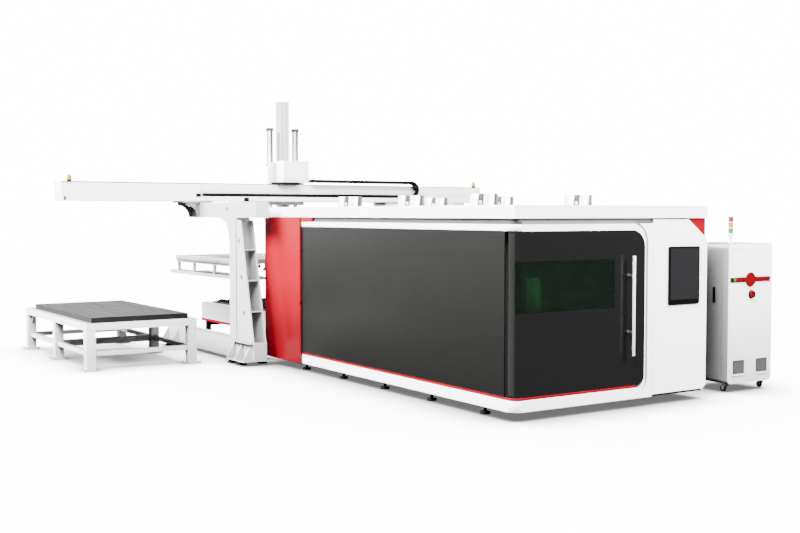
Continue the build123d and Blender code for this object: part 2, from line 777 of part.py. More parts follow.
def duct_collars():
    solids = []
    for x in DUCT_X:
        for y in DUCT_Y:
            top = ROOF_TOP + DUCT_HEIGHT
            collar = upright(x, y, ROOF_TOP, top, DUCT_RADIUS)
            collar = collar + upright(x, y, ROOF_TOP, ROOF_TOP + DUCT_FLANGE_THICK, DUCT_FLANGE_RADIUS)
            solids.append(collar - upright(x, y, ROOF_TOP - OVERRUN, top + OVERRUN, DUCT_BORE))
    return Compound(children=solids)


# Screw feet under the cabin and the loader's cone pads
def levelling_feet():
    solids = []
    for place in range(FOOT_COUNT):
        x = -FOOT_FRONT - place * FOOT_PITCH
        for y in FOOT_Y:
            pad = upright(x, y, 0, FOOT_THICK, FOOT_RADIUS)
            solids.append(pad + upright(x, y, FOOT_THICK, SKIRT_BOTTOM, STEM_RADIUS))
    for x in PAD_X:
        for y in PAD_Y:
            pad = Pos(x, y, SOLE_LOW / 2) * Cone(PAD_RADIUS, PAD_NECK, SOLE_LOW)
            solids += [behind_cabin(pad), behind_cabin(mirrored(pad))]
    return Compound(children=solids)


def operator_screen():
    face = Pos((SCREEN_LEFT + SCREEN_RIGHT) / 2, (SCREEN_LOW + SCREEN_HIGH) / 2)
    face = face * RectangleRounded(SCREEN_RIGHT - SCREEN_LEFT, SCREEN_HIGH - SCREEN_LOW, SCREEN_RADIUS)
    return front_plate(face, 0, SCREEN_OUT)


def pivot_plate(z0):
    inner = WALL
    reach = PIVOT_PLATE_REACH
    plate = Pos(0, 0, z0) * extrude(plan(inner), PIVOT_PLATE_THICK)
    plate = plate & block(-reach, OVERRUN, -OVERRUN, reach, 0, ROOF_TOP)
    hole = upright(-CORNER_RADIUS, CORNER_RADIUS, z0 - OVERRUN, z0 + PIVOT_PLATE_THICK + OVERRUN,
                   PIVOT_RADIUS + RUN_GAP)
    return plate - hole


# Bearing plates above and below the door, fast to the skirt and the cornice
def door_pivots():
    low = pivot_plate(SKIRT_TOP - PIVOT_PLATE_THICK)
    high = pivot_plate(CORNICE_TOP - PIVOT_PLATE_THICK)
    return Compound(children=[low, high])


# The door carries the rounded corner, which turns about its own centre
def front_door():
    z0 = TRIM_TOP + DOOR_GAP
    z1 = PANEL_TOP - DOOR_GAP
    sheet = Pos(0, 0, z0) * extrude(plan(0) - plan(DOOR_THICK), z1 - z0)
    corner = sheet & block(-CORNER_RADIUS, OVERRUN, -OVERRUN, CORNER_RADIUS, 0, ROOF_TOP)
    outline = right_rounded(CORNER_RADIUS, DOOR_RIGHT, z0, z1, DOOR_LOW_RADIUS, DOOR_TOP_RADIUS)
    door = front_plate(outline, -DOOR_THICK, 0) + corner
    door = door - door_window_space(DOOR_THICK)
    for z, way in ((z0, -1), (z1, 1)):
        inside = z - way * DOOR_THICK
        web = Pos(-CORNER_RADIUS, CORNER_RADIUS, (z + inside) / 2)
        web = web * Cylinder(CORNER_RADIUS - DOOR_THICK / 2, DOOR_THICK)
        tip = z + way * PIN_LENGTH
        pin = upright(-CORNER_RADIUS, CORNER_RADIUS, min(z, tip), max(z, tip), PIVOT_RADIUS)
        door = door + web + pin
    return door


# Window of the door, from its right end on the leaf round the whole corner
def door_window_space(thick):
    outline = right_rounded(CORNER_RADIUS, DOOR_WINDOW_RIGHT, WINDOW_LOW, WINDOW_HIGH,
                            DOOR_WINDOW_RADIUS, DOOR_WINDOW_RADIUS)
    flat = front_plate(outline, -thick, 0)
    curve = Pos(0, 0, WINDOW_LOW) * extrude(plan(0) - plan(thick), WINDOW_HIGH - WINDOW_LOW)
    return flat + (curve & block(-CORNER_RADIUS, OVERRUN, -OVERRUN, CORNER_RADIUS, 0, ROOF_TOP))


def door_window():
    return door_window_space(PANE_THICK)


def door_handle():
    bar = upright(HANDLE_OUT, HANDLE_Y, HANDLE_LOW, HANDLE_HIGH, HANDLE_RADIUS)
    for z in STANDOFF_HEIGHTS:
        bar = bar + rod_x(0, HANDLE_OUT, HANDLE_Y, z, STANDOFF_RADIUS)
    return bar


def foot_soles():
    front = block(-BASE_FRONT - SOLE_FRONT_LENGTH, -BASE_FRONT, SOLE_NEAR, SOLE_FAR, SOLE_LOW, BASE_LOW)
    rear = block(-BASE_REAR, -BASE_REAR + SOLE_REAR_LENGTH, SOLE_NEAR, SOLE_FAR, SOLE_LOW, BASE_LOW)
    pieces = [front, rear]
    points = [(SUPPORT_NEAR, BASE_LOW), (SUPPORT_NEAR, RIB_TOP), (SUPPORT_NEAR - RIB_REACH, BASE_LOW)]
    rib = make_face(Polyline(*points, close=True))
    for x in RIB_X:
        pieces.append(front_plate(rib, x, x + RIB_THICK))
    return join(pieces)


def buttress():
    outline = [(-COLUMN_FRONT, BASE_HIGH), (-BUTTRESS_LOW_X, BASE_HIGH),
               (-BUTTRESS_HIGH_X, BUTTRESS_TOP), (-COLUMN_FRONT, BUTTRESS_TOP)]
    pieces = [side_plate(outline, SUPPORT_NEAR, SUPPORT_NEAR + CHEEK_THICK),
              side_plate(outline, SUPPORT_FAR - CHEEK_THICK, SUPPORT_FAR)]
    slope = (BUTTRESS_HIGH_X - BUTTRESS_LOW_X) / (BUTTRESS_TOP - BASE_HIGH)
    for z in SHELF_Z:
        edge = -BUTTRESS_LOW_X - slope * (z + CHEEK_THICK - BASE_HIGH)
        pieces.append(block(-COLUMN_FRONT, edge, SUPPORT_NEAR, SUPPORT_FAR, z, z + CHEEK_THICK))
    return join(pieces)


# One C-shaped support: base, column with its buttress, and arm
def near_support():
    base = block(-BASE_REAR, -BASE_FRONT, SUPPORT_NEAR, SUPPORT_FAR, BASE_LOW, BASE_HIGH)
    column = block(-COLUMN_REAR, -COLUMN_FRONT, SUPPORT_NEAR, SUPPORT_FAR, BASE_HIGH, ARM_LOW)
    for z in SLOT_Z:
        column = column - block(SLOT_X, SLOT_X + SLOT_WIDTH, SUPPORT_NEAR, SUPPORT_NEAR + SLOT_DEPTH,
                                z, z + SLOT_LENGTH)
    arm = block(-ARM_REAR, -ARM_FRONT, SUPPORT_NEAR, SUPPORT_FAR, ARM_LOW, ARM_HIGH)
    low = ARM_LOW - KNEE_SIZE
    knee = block(-COLUMN_REAR - KNEE_SIZE, -COLUMN_REAR, SUPPORT_NEAR, SUPPORT_FAR, low, ARM_LOW)
    knee = knee - rod_y(-COLUMN_REAR - KNEE_SIZE, SUPPORT_NEAR - OVERRUN, SUPPORT_FAR + OVERRUN, low,
                        KNEE_SIZE - KNEE_LIP)
    return join([base, column, arm, knee, buttress(), foot_soles()])


def far_support():
    return mirrored(near_support())


# Plate and coved knees that carry the beam on one arm
def beam_saddles():
    plate = block(-ARM_REAR, -SADDLE_FRONT, SADDLE_LEFT, SUPPORT_FAR, ARM_HIGH, BEAM_LOW)
    pieces = [plate]
    for x in SADDLE_KNEE_X:
        tip = SUPPORT_NEAR - SADDLE_KNEE_RADIUS
        low = ARM_HIGH - SADDLE_KNEE_RADIUS
        end = x + SADDLE_KNEE_THICK
        knee = block(x, end, tip, SUPPORT_NEAR, low, ARM_HIGH)
        knee = knee - rod_x(x - OVERRUN, end + OVERRUN, tip, low, SADDLE_KNEE_RADIUS - SADDLE_KNEE_LIP)
        pieces.append(knee - rod_x(x - OVERRUN, end + OVERRUN, SUPPORT_NEAR - SADDLE_HOLE_INSET,
                                   ARM_HIGH - SADDLE_HOLE_INSET, SADDLE_HOLE_RADIUS))
    saddle = join(pieces)
    return Compound(children=[saddle, mirrored(saddle)])


def loader_beam():
    beam = block(-BEAM_REAR, -BEAM_FRONT, BEAM_LEFT, BEAM_RIGHT, BEAM_LOW, BEAM_HIGH)
    wall = BEAM_WALL
    beam = beam - block(-BEAM_REAR + wall, -BEAM_FRONT - wall, BEAM_LEFT + wall, BEAM_RIGHT - wall,
                        BEAM_LOW + wall, BEAM_HIGH - wall)
    cover = block(-BEAM_FRONT, -COVER_FRONT, BEAM_LEFT, COVER_RIGHT, BEAM_LOW, BEAM_HIGH)
    tray = block(-BEAM_FRONT, -COVER_FRONT, COVER_RIGHT, BEAM_RIGHT, TRAY_LOW, TRAY_HIGH)
    return join([beam, cover, tray])


def beam_rails():
    solids = []
    for z in BEAM_RAIL_Z:
        solids.append(block(-BEAM_REAR - BEAM_RAIL_OUT, -BEAM_REAR, BEAM_LEFT + BEAM_RAIL_MARGIN,
                            BEAM_RIGHT - BEAM_RAIL_MARGIN, z, z + BEAM_RAIL_HIGH))
    return Compound(children=solids)


def beam_lamps():
    solids = []
    for y in LAMP_Y:
        lamp = upright(LAMP_X, y, BEAM_HIGH, BEAM_HIGH + LAMP_HIGH, LAMP_RADIUS)
        base = block(LAMP_X - LAMP_RADIUS, LAMP_X + LAMP_RADIUS, y - LAMP_RADIUS, y + LAMP_RADIUS,
                     BEAM_HIGH, BEAM_HIGH + LAMP_BASE)
        solids.append(lamp + base)
    return Compound(children=solids)


def chain_lower_run():
    low = TRAY_HIGH
    return block(-CHAIN_REAR, -CHAIN_MID, CHAIN_LEFT, CHAIN_BEND_Y, low, CHAIN_LOW + CHAIN_THICK)


# Half round of the chain and the stretch of lower run that it lays down
def chain_bend():
    z = CHAIN_LOW + CHAIN_OUTER
    outer = rod_x(-CHAIN_REAR, -CHAIN_FRONT, CHAIN_BEND_Y, z, CHAIN_OUTER)
    inner = rod_x(-CHAIN_REAR - OVERRUN, -CHAIN_FRONT + OVERRUN, CHAIN_BEND_Y, z, CHAIN_OUTER - CHAIN_THICK)
    half = block(-CHAIN_REAR, -CHAIN_FRONT, CHAIN_BEND_Y, CHAIN_BEND_Y + CHAIN_OUTER,
                 CHAIN_LOW, z + CHAIN_OUTER)
    stretch = block(-CHAIN_MID + SLIDE_GAP, -CHAIN_FRONT, CHAIN_BEND_Y - CHAIN_PLAY, CHAIN_BEND_Y,
                    CHAIN_LOW, CHAIN_LOW + CHAIN_THICK)
    return ((outer - inner) & half) + stretch


def chain_upper_run():
    high = CHAIN_LOW + 2 * CHAIN_OUTER
    start = HOUSING_RIGHT + CLIP_LENGTH
    return block(-CHAIN_REAR, -CHAIN_FRONT, start, CHAIN_BEND_Y, high - CHAIN_THICK, high)


def cylinder_places():
    return [(MAST_X, MAST_Y - CYLINDER_OFFSET), (MAST_X, MAST_Y + CYLINDER_OFFSET)]


def mast_front():
    return MAST_X + MAST_DEPTH / 2


# Back plate with guide blocks, housing on top, chain clip and cylinder straps
def loader_carriage():
    half = PLATE_WIDTH / 2
    plate = block(-PLATE_REAR, -PLATE_FRONT, MAST_Y - half, MAST_Y + half, PLATE_LOW, PLATE_HIGH)
    housing = block(-PLATE_FRONT, -BEAM_FRONT, HOUSING_LEFT, HOUSING_RIGHT, HOUSING_LOW, HOUSING_HIGH)
    low = CHAIN_LOW + 2 * CHAIN_OUTER - CHAIN_THICK
    clip = block(-BEAM_FRONT - CLIP_LAP, -CHAIN_FRONT, HOUSING_RIGHT, HOUSING_RIGHT + CLIP_LENGTH,
                 low, CLIP_HIGH)
    pieces = [plate, housing, clip]
    front = -BEAM_REAR - BEAM_RAIL_OUT
    for z in BEAM_RAIL_Z:
        for way in (-1, 1):
            y = MAST_Y + way * BLOCK_OFFSET - BLOCK_LENGTH / 2
            pieces.append(block(-PLATE_FRONT, front, y, y + BLOCK_LENGTH, z - BLOCK_LAP,
                                z + BEAM_RAIL_HIGH + BLOCK_LAP))
    for z in MAST_BLOCK_Z:
        pieces.append(block(mast_front(), -PLATE_REAR, MAST_Y - MAST_WIDTH / 2,
                            MAST_Y + MAST_WIDTH / 2, z, z + MAST_BLOCK_HIGH))
    for x, y in cylinder_places():
        for z in STRAP_Z:
            strap = block(x, -PLATE_REAR, y - STRAP_WIDTH / 2, y + STRAP_WIDTH / 2, z, z + STRAP_HIGH)
            bore = upright(x, y, z - OVERRUN, z + STRAP_HIGH + OVERRUN, CYLINDER_SLIM_RADIUS)
            pieces.append(strap - bore)
    return join(pieces)


def balance_cylinders():
    solids = []
    for x, y in cylinder_places():
        flange = upright(x, y, CYLINDER_LOW, CYLINDER_LOW + CYLINDER_FLANGE, CYLINDER_FLANGE_RADIUS)
        slim = upright(x, y, CYLINDER_LOW, CYLINDER_COLLAR_LOW, CYLINDER_SLIM_RADIUS)
        collar_top = CYLINDER_COLLAR_LOW + CYLINDER_COLLAR
        collar = upright(x, y, CYLINDER_COLLAR_LOW, collar_top, CYLINDER_CAP_RADIUS)
        tube = upright(x, y, CYLINDER_COLLAR_LOW, CYLINDER_TOP, CYLINDER_RADIUS)
        cap = upright(x, y, CYLINDER_TOP, CYLINDER_TOP + CYLINDER_CAP, CYLINDER_CAP_RADIUS)
        whole = join([flange, slim, collar, tube, cap])
        bore = upright(x, y, CYLINDER_LOW - OVERRUN, CYLINDER_BORE_TOP, ROD_RADIUS + RUN_GAP)
        solids.append(whole - bore)
    return Compound(children=solids)


def balance_rods():
    solids = []
    for x, y in cylinder_places():
        solids.append(upright(x, y, FRAME_HIGH, ROD_TOP, ROD_RADIUS))
    return Compound(children=solids)


# Slotted aluminium profile on a foot plate
def lift_mast():
    x0 = MAST_X - MAST_DEPTH / 2
    x1 = mast_front()
    y0 = MAST_Y - MAST_WIDTH / 2
    y1 = MAST_Y + MAST_WIDTH / 2
    mast = block(x0, x1, y0, y1, MAST_LOW, MAST_HIGH)
    half = GROOVE_WIDTH / 2
    top = MAST_HIGH + OVERRUN
    for y in (y0 + GROOVE_SIDE, y1 - GROOVE_SIDE):
        mast = mast - block(x1 - GROOVE_DEPTH, x1 + OVERRUN, y - half, y + half, MAST_LOW, top)
        mast = mast - block(x0 - OVERRUN, x0 + GROOVE_DEPTH, y - half, y + half, MAST_LOW, top)
    mast = mast - block(MAST_X - half, MAST_X + half, y0 - OVERRUN, y0 + GROOVE_DEPTH, MAST_LOW, top)
    mast = mast - block(MAST_X - half, MAST_X + half, y1 - GROOVE_DEPTH, y1 + OVERRUN, MAST_LOW, top)
    foot = MAST_FOOT / 2
    return mast + block(MAST_X - foot, MAST_X + foot, MAST_Y - foot, MAST_Y + foot,
                        MAST_LOW - MAST_FOOT_THICK, MAST_LOW)


def suction_frame():
    half = FRAME_BAR / 2
    pieces = [block(-FRAME_REAR, -FRAME_FRONT, FRAME_Y - half, FRAME_Y + half, FRAME_LOW, FRAME_HIGH)]
    for x in CROSS_X:
        pieces.append(block(x - half, x + half, FRAME_Y - FRAME_REACH, FRAME_Y + FRAME_REACH,
                            FRAME_LOW, FRAME_HIGH))
    for way in (-1, 1):
        y = FRAME_Y + way * (FRAME_REACH - half)
        pieces.append(block(-FRAME_REAR, -FRAME_FRONT, y - half, y + half, FRAME_LOW, FRAME_HIGH))
    thin = SUCTION_BAR / 2
    for x in SUCTION_BAR_X:
        pieces.append(block(x - thin, x + thin, FRAME_Y - SUCTION_REACH, FRAME_Y + SUCTION_REACH,
                            FRAME_LOW - SUCTION_BAR, FRAME_LOW))
    return join(pieces)


def suction_cups():
    solids = []
    for x in SUCTION_BAR_X:
        for offset in CUP_OFFSETS:
            y = FRAME_Y + offset
            skirt = Cone(CUP_RIM_RADIUS, CUP_NECK_RADIUS, CUP_HIGH - CUP_LOW)
            skirt = Pos(x, y, (CUP_LOW + CUP_HIGH) / 2) * skirt
            solids.append(skirt + upright(x, y, CUP_HIGH, FRAME_LOW - SUCTION_BAR, CUP_STEM_RADIUS))
    return Compound(children=solids)


# Rake of tines hung from a bar that runs under the frame's cross beams
def fork(way):
    y = FRAME_Y + way * FORK_OFFSET
    half = FORK_BAR / 2
    tip = FRAME_Y + way * FORK_TIP_OFFSET
    top = FRAME_LOW
    pieces = [block(-FORK_REAR, -FORK_FRONT, y - half, y + half, FORK_LOW, FORK_LOW + FORK_BAR),
              block(-FRAME_REAR, -FRAME_FRONT, y - half, y + half, top - FORK_TOP_HIGH, top)]
    post = FORK_POST / 2
    for x in FORK_POST_X:
        pieces.append(block(x - post, x + post, y - post, y + post,
                            FORK_LOW + FORK_BAR, top - FORK_TOP_HIGH))
    wide = FORK_TINE_WIDTH / 2
    for x in FORK_TINE_X:
        pieces.append(block(x - wide, x + wide, min(y, tip), max(y, tip),
                            FORK_LOW, FORK_LOW + FORK_TINE_THICK))
    return join(pieces)


def fork_near():
    return fork(-1)


def fork_far():
    return fork(1)


def table_leg(x, y):
    half = TABLE_LEG / 2
    foot = FOOTPLATE / 2
    leg = block(x - half, x + half, y - half, y + half, FOOTPLATE_THICK, TABLE_RAIL_LOW)
    plate = block(x - foot, x + foot, y - foot, y + foot, 0, FOOTPLATE_THICK)
    step = ANCHOR_SPACING / 2
    for dx in (-step, step):
        for dy in (-step, step):
            plate = plate - upright(x + dx, y + dy, -OVERRUN, FOOTPLATE_THICK + OVERRUN, ANCHOR_RADIUS)
    return leg + plate


def loading_table():
    near = block(-TABLE_REAR, -TABLE_FRONT, TABLE_NEAR, TABLE_NEAR + TABLE_RAIL, TABLE_RAIL_LOW, TABLE_TOP)
    far = block(-TABLE_REAR, -TABLE_FRONT, TABLE_FAR - TABLE_RAIL, TABLE_FAR, TABLE_RAIL_LOW, TABLE_TOP)
    end = block(-TABLE_REAR, -TABLE_REAR + TABLE_RAIL, TABLE_NEAR, TABLE_FAR, TABLE_RAIL_LOW, TABLE_TOP)
    pieces = [near, far, end, Pos(TABLE_REAR - TABLE_FRONT - TABLE_RAIL, 0, 0) * end]
    for share in TABLE_CROSS_SHARES:
        x = -TABLE_REAR + share * TABLE_LENGTH
        pieces.append(block(x, x + TABLE_CROSS, TABLE_NEAR, TABLE_FAR, TABLE_RAIL_LOW, TABLE_TOP))
    inset = TABLE_LEG / 2
    half = TABLE_LOW_RAIL_WIDTH / 2
    sides = (TABLE_NEAR + inset, TABLE_FAR - inset)
    for y in sides:
        for x in TABLE_LEG_X:
            pieces.append(table_leg(x, y))
        pieces.append(block(TABLE_LEG_X[0], TABLE_LEG_X[-1], y - half, y + half,
                            TABLE_LOW_RAIL, TABLE_LOW_RAIL_HIGH))
        for x, way in ((TABLE_LEG_X[0], 1), (TABLE_LEG_X[-1], -1)):
            face = x + way * inset
            corner = [(face, TABLE_RAIL_LOW), (face + way * GUSSET, TABLE_RAIL_LOW),
                      (face, TABLE_RAIL_LOW - GUSSET)]
            pieces.append(side_plate(corner, y - GUSSET_THICK / 2, y + GUSSET_THICK / 2))
    for x in (TABLE_LEG_X[0], TABLE_LEG_X[-1]):
        pieces.append(block(x - half, x + half, sides[0], sides[1], TABLE_LOW_RAIL, TABLE_LOW_RAIL_HIGH))
    return join(pieces)


def sheet_stack():
    x0 = -SHEET_REAR
    return block(x0, x0 + SHEET_LENGTH, SHEET_NEAR, SHEET_NEAR + SHEET_WIDTH, TABLE_TOP, SHEET_TOP)


def cabinet_space(inset):
    x0 = -CABINET_FRONT - CABINET_DEPTH + inset
    x1 = -CABINET_FRONT - inset
    return block(x0, x1, CABINET_NEAR + inset, CABINET_FAR - inset,
                 CABINET_LOW + inset, CABINET_HIGH - inset)


def cabinet_door_space(gap, thick):
    x1 = -CABINET_DOOR_FRONT - gap
    x0 = -CABINET_DOOR_FRONT - CABINET_DOOR_WIDTH + gap
    return block(x0, x1, CABINET_NEAR, CABINET_NEAR + thick,
                 CABINET_DOOR_LOW + gap, CABINET_DOOR_HIGH - gap)


def knob_hole():
    return rod_x(-CABINET_FRONT - CABINET_WALL - OVERRUN, -CABINET_FRONT + OVERRUN, KNOB_Y, KNOB_Z,
                 SHAFT_RADIUS + RUN_GAP)


def hinge_axis():
    x = -CABINET_DOOR_FRONT - CABINET_DOOR_WIDTH + DOOR_GAP + HINGE_INSET
    return x, CABINET_NEAR + CABINET_DOOR_THICK / 2


def hinge_pins(radius):
    x, y = hinge_axis()
    low = upright(x, y, CABINET_DOOR_LOW - HINGE_REACH, CABINET_DOOR_LOW + DOOR_GAP, radius)
    high = upright(x, y, CABINET_DOOR_HIGH - DOOR_GAP, CABINET_DOOR_HIGH + HINGE_REACH, radius)
    return low, high


def cabinet_body():
    shell = cabinet_space(0)
    shell = fillet(shell.edges().filter_by(Axis.X), CABINET_RADIUS)
    shell = shell - cabinet_space(CABINET_WALL) - cabinet_door_space(0, CABINET_WALL) - knob_hole()
    for hole in hinge_pins(HINGE_RADIUS + RUN_GAP):
        shell = shell - hole
    return shell


def cabinet_door():
    return join([cabinet_door_space(DOOR_GAP, CABINET_DOOR_THICK), *hinge_pins(HINGE_RADIUS)])


def cabinet_latch():
    half = LATCH_WIDTH / 2
    return block(LATCH_X - half, LATCH_X + half, CABINET_NEAR - LATCH_OUT, CABINET_NEAR,
                 LATCH_LOW, LATCH_HIGH)


def indicator_bar():
    x0 = -CABINET_FRONT
    bar = block(x0, x0 + BAR_OUT, BAR_LEFT, BAR_RIGHT, BAR_Z - BAR_HALF, BAR_Z + BAR_HALF)
    return bar + rod_x(x0, x0 + DISC_OUT, DISC_Y, BAR_Z, DISC_RADIUS)


def isolator_knob():
    x0 = -CABINET_FRONT + SLIDE_GAP
    knob = rod_x(x0, x0 + KNOB_OUT, KNOB_Y, KNOB_Z, KNOB_RADIUS)
    half = KNOB_GRIP / 2
    grip = block(x0 + KNOB_OUT, x0 + KNOB_OUT + KNOB_GRIP_OUT, KNOB_Y - half, KNOB_Y + half,
                 KNOB_Z - KNOB_RADIUS + half, KNOB_Z + KNOB_RADIUS - half)
    shaft = rod_x(-CABINET_FRONT - CABINET_WALL, x0, KNOB_Y, KNOB_Z, SHAFT_RADIUS)
    return join([knob, grip, shaft])


def cabinet_vents():
    solids = []
    for margin in VENT_MARGINS:
        left = CABINET_NEAR + margin
        solids.append(block(-CABINET_FRONT, -CABINET_FRONT + VENT_OUT, left, left + VENT_WIDTH,
                            VENT_LOW, VENT_HIGH))
    return Compound(children=solids)


def tower_stem():
    base = upright(TOWER_X, TOWER_Y, CABINET_HIGH, CABINET_HIGH + TOWER_BASE, TOWER_BASE_RADIUS)
    return base + upright(TOWER_X, TOWER_Y, CABINET_HIGH, TOWER_LENS_LOW, TOWER_STEM_RADIUS)


def tower_lenses():
    solids = []
    for place in range(TOWER_LENS_COUNT):
        low = TOWER_LENS_LOW + place * TOWER_LENS_HIGH
        solids.append(upright(TOWER_X, TOWER_Y, low, low + TOWER_LENS_HIGH, TOWER_LENS_RADIUS))
    return Compound(children=solids)


def caster_places():
    return [(x, y) for x in CASTER_X for y in CASTER_Y]


def caster_fork(x, y):
    half = CASTER_PLATE / 2
    plate = block(x - half, x + half, y - half, y + half, CABINET_LOW - CASTER_PLATE_THICK, CABINET_LOW)
    pieces = [plate]
    axle = x - CASTER_TRAIL
    for way in (-1, 1):
        inner = y + way * (CASTER_WIDTH / 2 + SLIDE_GAP)
        outer = inner + way * CASTER_CHEEK
        cheek = [(x - half, CABINET_LOW - CASTER_PLATE_THICK), (x + half, CABINET_LOW - CASTER_PLATE_THICK),
                 (axle + CASTER_AXLE_RADIUS * 2, CASTER_RADIUS - CASTER_AXLE_RADIUS * 2),
                 (axle - CASTER_AXLE_RADIUS * 2, CASTER_RADIUS - CASTER_AXLE_RADIUS * 2)]
        pieces.append(side_plate(cheek, min(inner, outer), max(inner, outer)))
    reach = CASTER_WIDTH / 2 + SLIDE_GAP + CASTER_CHEEK
    pieces.append(rod_y(axle, y - reach, y + reach, CASTER_RADIUS, CASTER_AXLE_RADIUS))
    return join(pieces)


def caster_forks():
    return Compound(children=[caster_fork(x, y) for x, y in caster_places()])


def caster_wheels():
    solids = []
    for x, y in caster_places():
        axle = x - CASTER_TRAIL
        wheel = rod_y(axle, y - CASTER_WIDTH / 2, y + CASTER_WIDTH / 2, CASTER_RADIUS, CASTER_RADIUS)
        bore = rod_y(axle, y - CASTER_WIDTH, y + CASTER_WIDTH, CASTER_RADIUS, CASTER_AXLE_RADIUS + RUN_GAP)
        solids.append(wheel - bore)
    return Compound(children=solids)


CABIN_NODES = [machine_bed, guide_rails, cabin_posts, cabin_skirt, skirt_trim, side_panel, side_window,
               side_cornice, upper_band, front_rim, front_panel, corner_accent, operator_screen, far_panel,
               rear_portal, rear_shutter, roof, duct_collars, levelling_feet, door_pivots, front_door,
               door_window, door_handle, gantry_beam, head_carriage, cutting_head, upper_pallet,
               lower_pallet, exchange_frame, exchange_legs, pallet_drive, cabinet_body, cabinet_door,
               cabinet_latch, indicator_bar, isolator_knob, cabinet_vents, tower_stem, tower_lenses,
               caster_forks, caster_wheels]
LOADER_NODES = [near_support, far_support, beam_saddles, loader_beam, beam_rails, beam_lamps,
                chain_lower_run, chain_bend, chain_upper_run, loader_carriage, balance_cylinders,
                balance_rods, lift_mast, suction_frame, suction_cups, fork_near, fork_far, loading_table,
                sheet_stack]


# Shift that puts the origin under the middle of the whole at floor level
def shift_of(shapes):
    boxes = [shape.bounding_box() for shape in shapes]
    x = min(box.min.X for box in boxes) + max(box.max.X for box in boxes)
    y = min(box.min.Y for box in boxes) + max(box.max.Y for box in boxes)
    return Pos(-x / 2, -y / 2, -min(box.min.Z for box in boxes))


os.makedirs("parts", exist_ok=True)
shapes = {node.__name__: node() for node in CABIN_NODES}
for node in LOADER_NODES:
    shapes[node.__name__] = behind_cabin(node())
shift = shift_of(shapes.values())
for name, shape in shapes.items():
    export_step(shift * shape, "parts/" + name + ".step")

move = shift.position
print("shift", move.X, move.Y, move.Z)
print("door axis", move.X - CORNER_RADIUS, move.Y + CORNER_RADIUS)
print("cabinet door axis", move.X + hinge_axis()[0], move.Y + hinge_axis()[1])
print("knob axis", move.Y + KNOB_Y, move.Z + KNOB_Z)
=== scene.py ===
import math

import bmesh
import bpy
from mathutils import Matrix, Vector


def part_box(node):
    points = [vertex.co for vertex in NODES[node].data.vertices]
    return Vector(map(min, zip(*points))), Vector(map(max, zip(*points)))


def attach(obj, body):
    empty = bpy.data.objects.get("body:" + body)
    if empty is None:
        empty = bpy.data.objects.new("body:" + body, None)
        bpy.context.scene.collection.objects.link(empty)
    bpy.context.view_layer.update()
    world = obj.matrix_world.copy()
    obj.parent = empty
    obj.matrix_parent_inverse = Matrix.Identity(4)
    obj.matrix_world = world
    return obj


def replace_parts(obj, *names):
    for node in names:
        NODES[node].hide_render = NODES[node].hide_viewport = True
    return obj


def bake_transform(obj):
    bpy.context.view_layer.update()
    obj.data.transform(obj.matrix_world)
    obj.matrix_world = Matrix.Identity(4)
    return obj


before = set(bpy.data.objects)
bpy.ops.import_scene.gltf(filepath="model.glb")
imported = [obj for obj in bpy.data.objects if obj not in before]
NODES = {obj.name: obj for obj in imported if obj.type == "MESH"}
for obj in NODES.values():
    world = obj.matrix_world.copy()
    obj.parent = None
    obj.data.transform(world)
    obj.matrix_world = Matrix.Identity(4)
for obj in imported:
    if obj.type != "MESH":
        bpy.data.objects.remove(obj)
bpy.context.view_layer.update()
SCENE = bpy.context.scene

# Camera fitted to the photograph, in metres and degrees
CAMERA_PLACE = (14.2765, -8.96925, 2.2975)
CAMERA_AZIMUTH = 56.98
CAMERA_ELEVATION = 2.747
CAMERA_LENS = 49.92
CAMERA_SENSOR = 36.0
CAMERA_FAR = 400.0


# Node helpers for procedural materials
def new_material(name):
    material = bpy.data.materials.new(name)
    material.use_nodes = True
    tree = material.node_tree
    return material, tree, tree.nodes["Principled BSDF"]


def set_inputs(node, values):
    for name, value in values.items():
        node.inputs[name].default_value = value


def noise(tree, scale, detail=2.0, stretch=(1.0, 1.0, 1.0)):
    coords = tree.nodes.new("ShaderNodeTexCoord")
    mapping = tree.nodes.new("ShaderNodeMapping")
    mapping.inputs["Scale"].default_value = stretch
    texture = tree.nodes.new("ShaderNodeTexNoise")
    set_inputs(texture, {"Scale": scale, "Detail": detail})
    tree.links.new(coords.outputs["Object"], mapping.inputs["Vector"])
    tree.links.new(mapping.outputs["Vector"], texture.inputs["Vector"])
    return texture.outputs["Fac"]


def spread(tree, source, low, high, start=0.3, stop=0.7):
    node = tree.nodes.new("ShaderNodeMapRange")
    set_inputs(node, {"From Min": start, "From Max": stop, "To Min": low, "To Max": high})
    tree.links.new(source, node.inputs["Value"])
    return node.outputs["Result"]


def mix_node(tree, blend="MIX"):
    node = tree.nodes.new("ShaderNodeMix")
    node.data_type = "RGBA"
    node.blend_type = blend
    return node


def blend_colours(tree, factor, first, second):
    node = mix_node(tree)
    set_inputs(node, {"A": (*first, 1.0), "B": (*second, 1.0)})
    tree.links.new(factor, node.inputs["Factor"])
    return node.outputs["Result"]


def shaded(colour, share):
    return tuple(channel * share for channel in colour)


# Two tones of one colour, mixed by a texture
def two_tone(tree, texture, colour, share):
    return blend_colours(tree, spread(tree, texture, 0.0, 1.0), colour, shaded(colour, share))


# Roughness wanders between two shares of its mean
def vary_gloss(tree, shader, texture, roughness, low_share, high_share):
    gloss = spread(tree, texture, roughness * low_share, roughness * high_share)
    tree.links.new(gloss, shader.inputs["Roughness"])


# One axis of the surface's normal or place
def surface_part(tree, kind, axis):
    shape = tree.nodes.new("ShaderNodeNewGeometry")
    parts = tree.nodes.new("ShaderNodeSeparateXYZ")
    tree.links.new(shape.outputs[kind], parts.inputs["Vector"])
    return parts.outputs[axis]


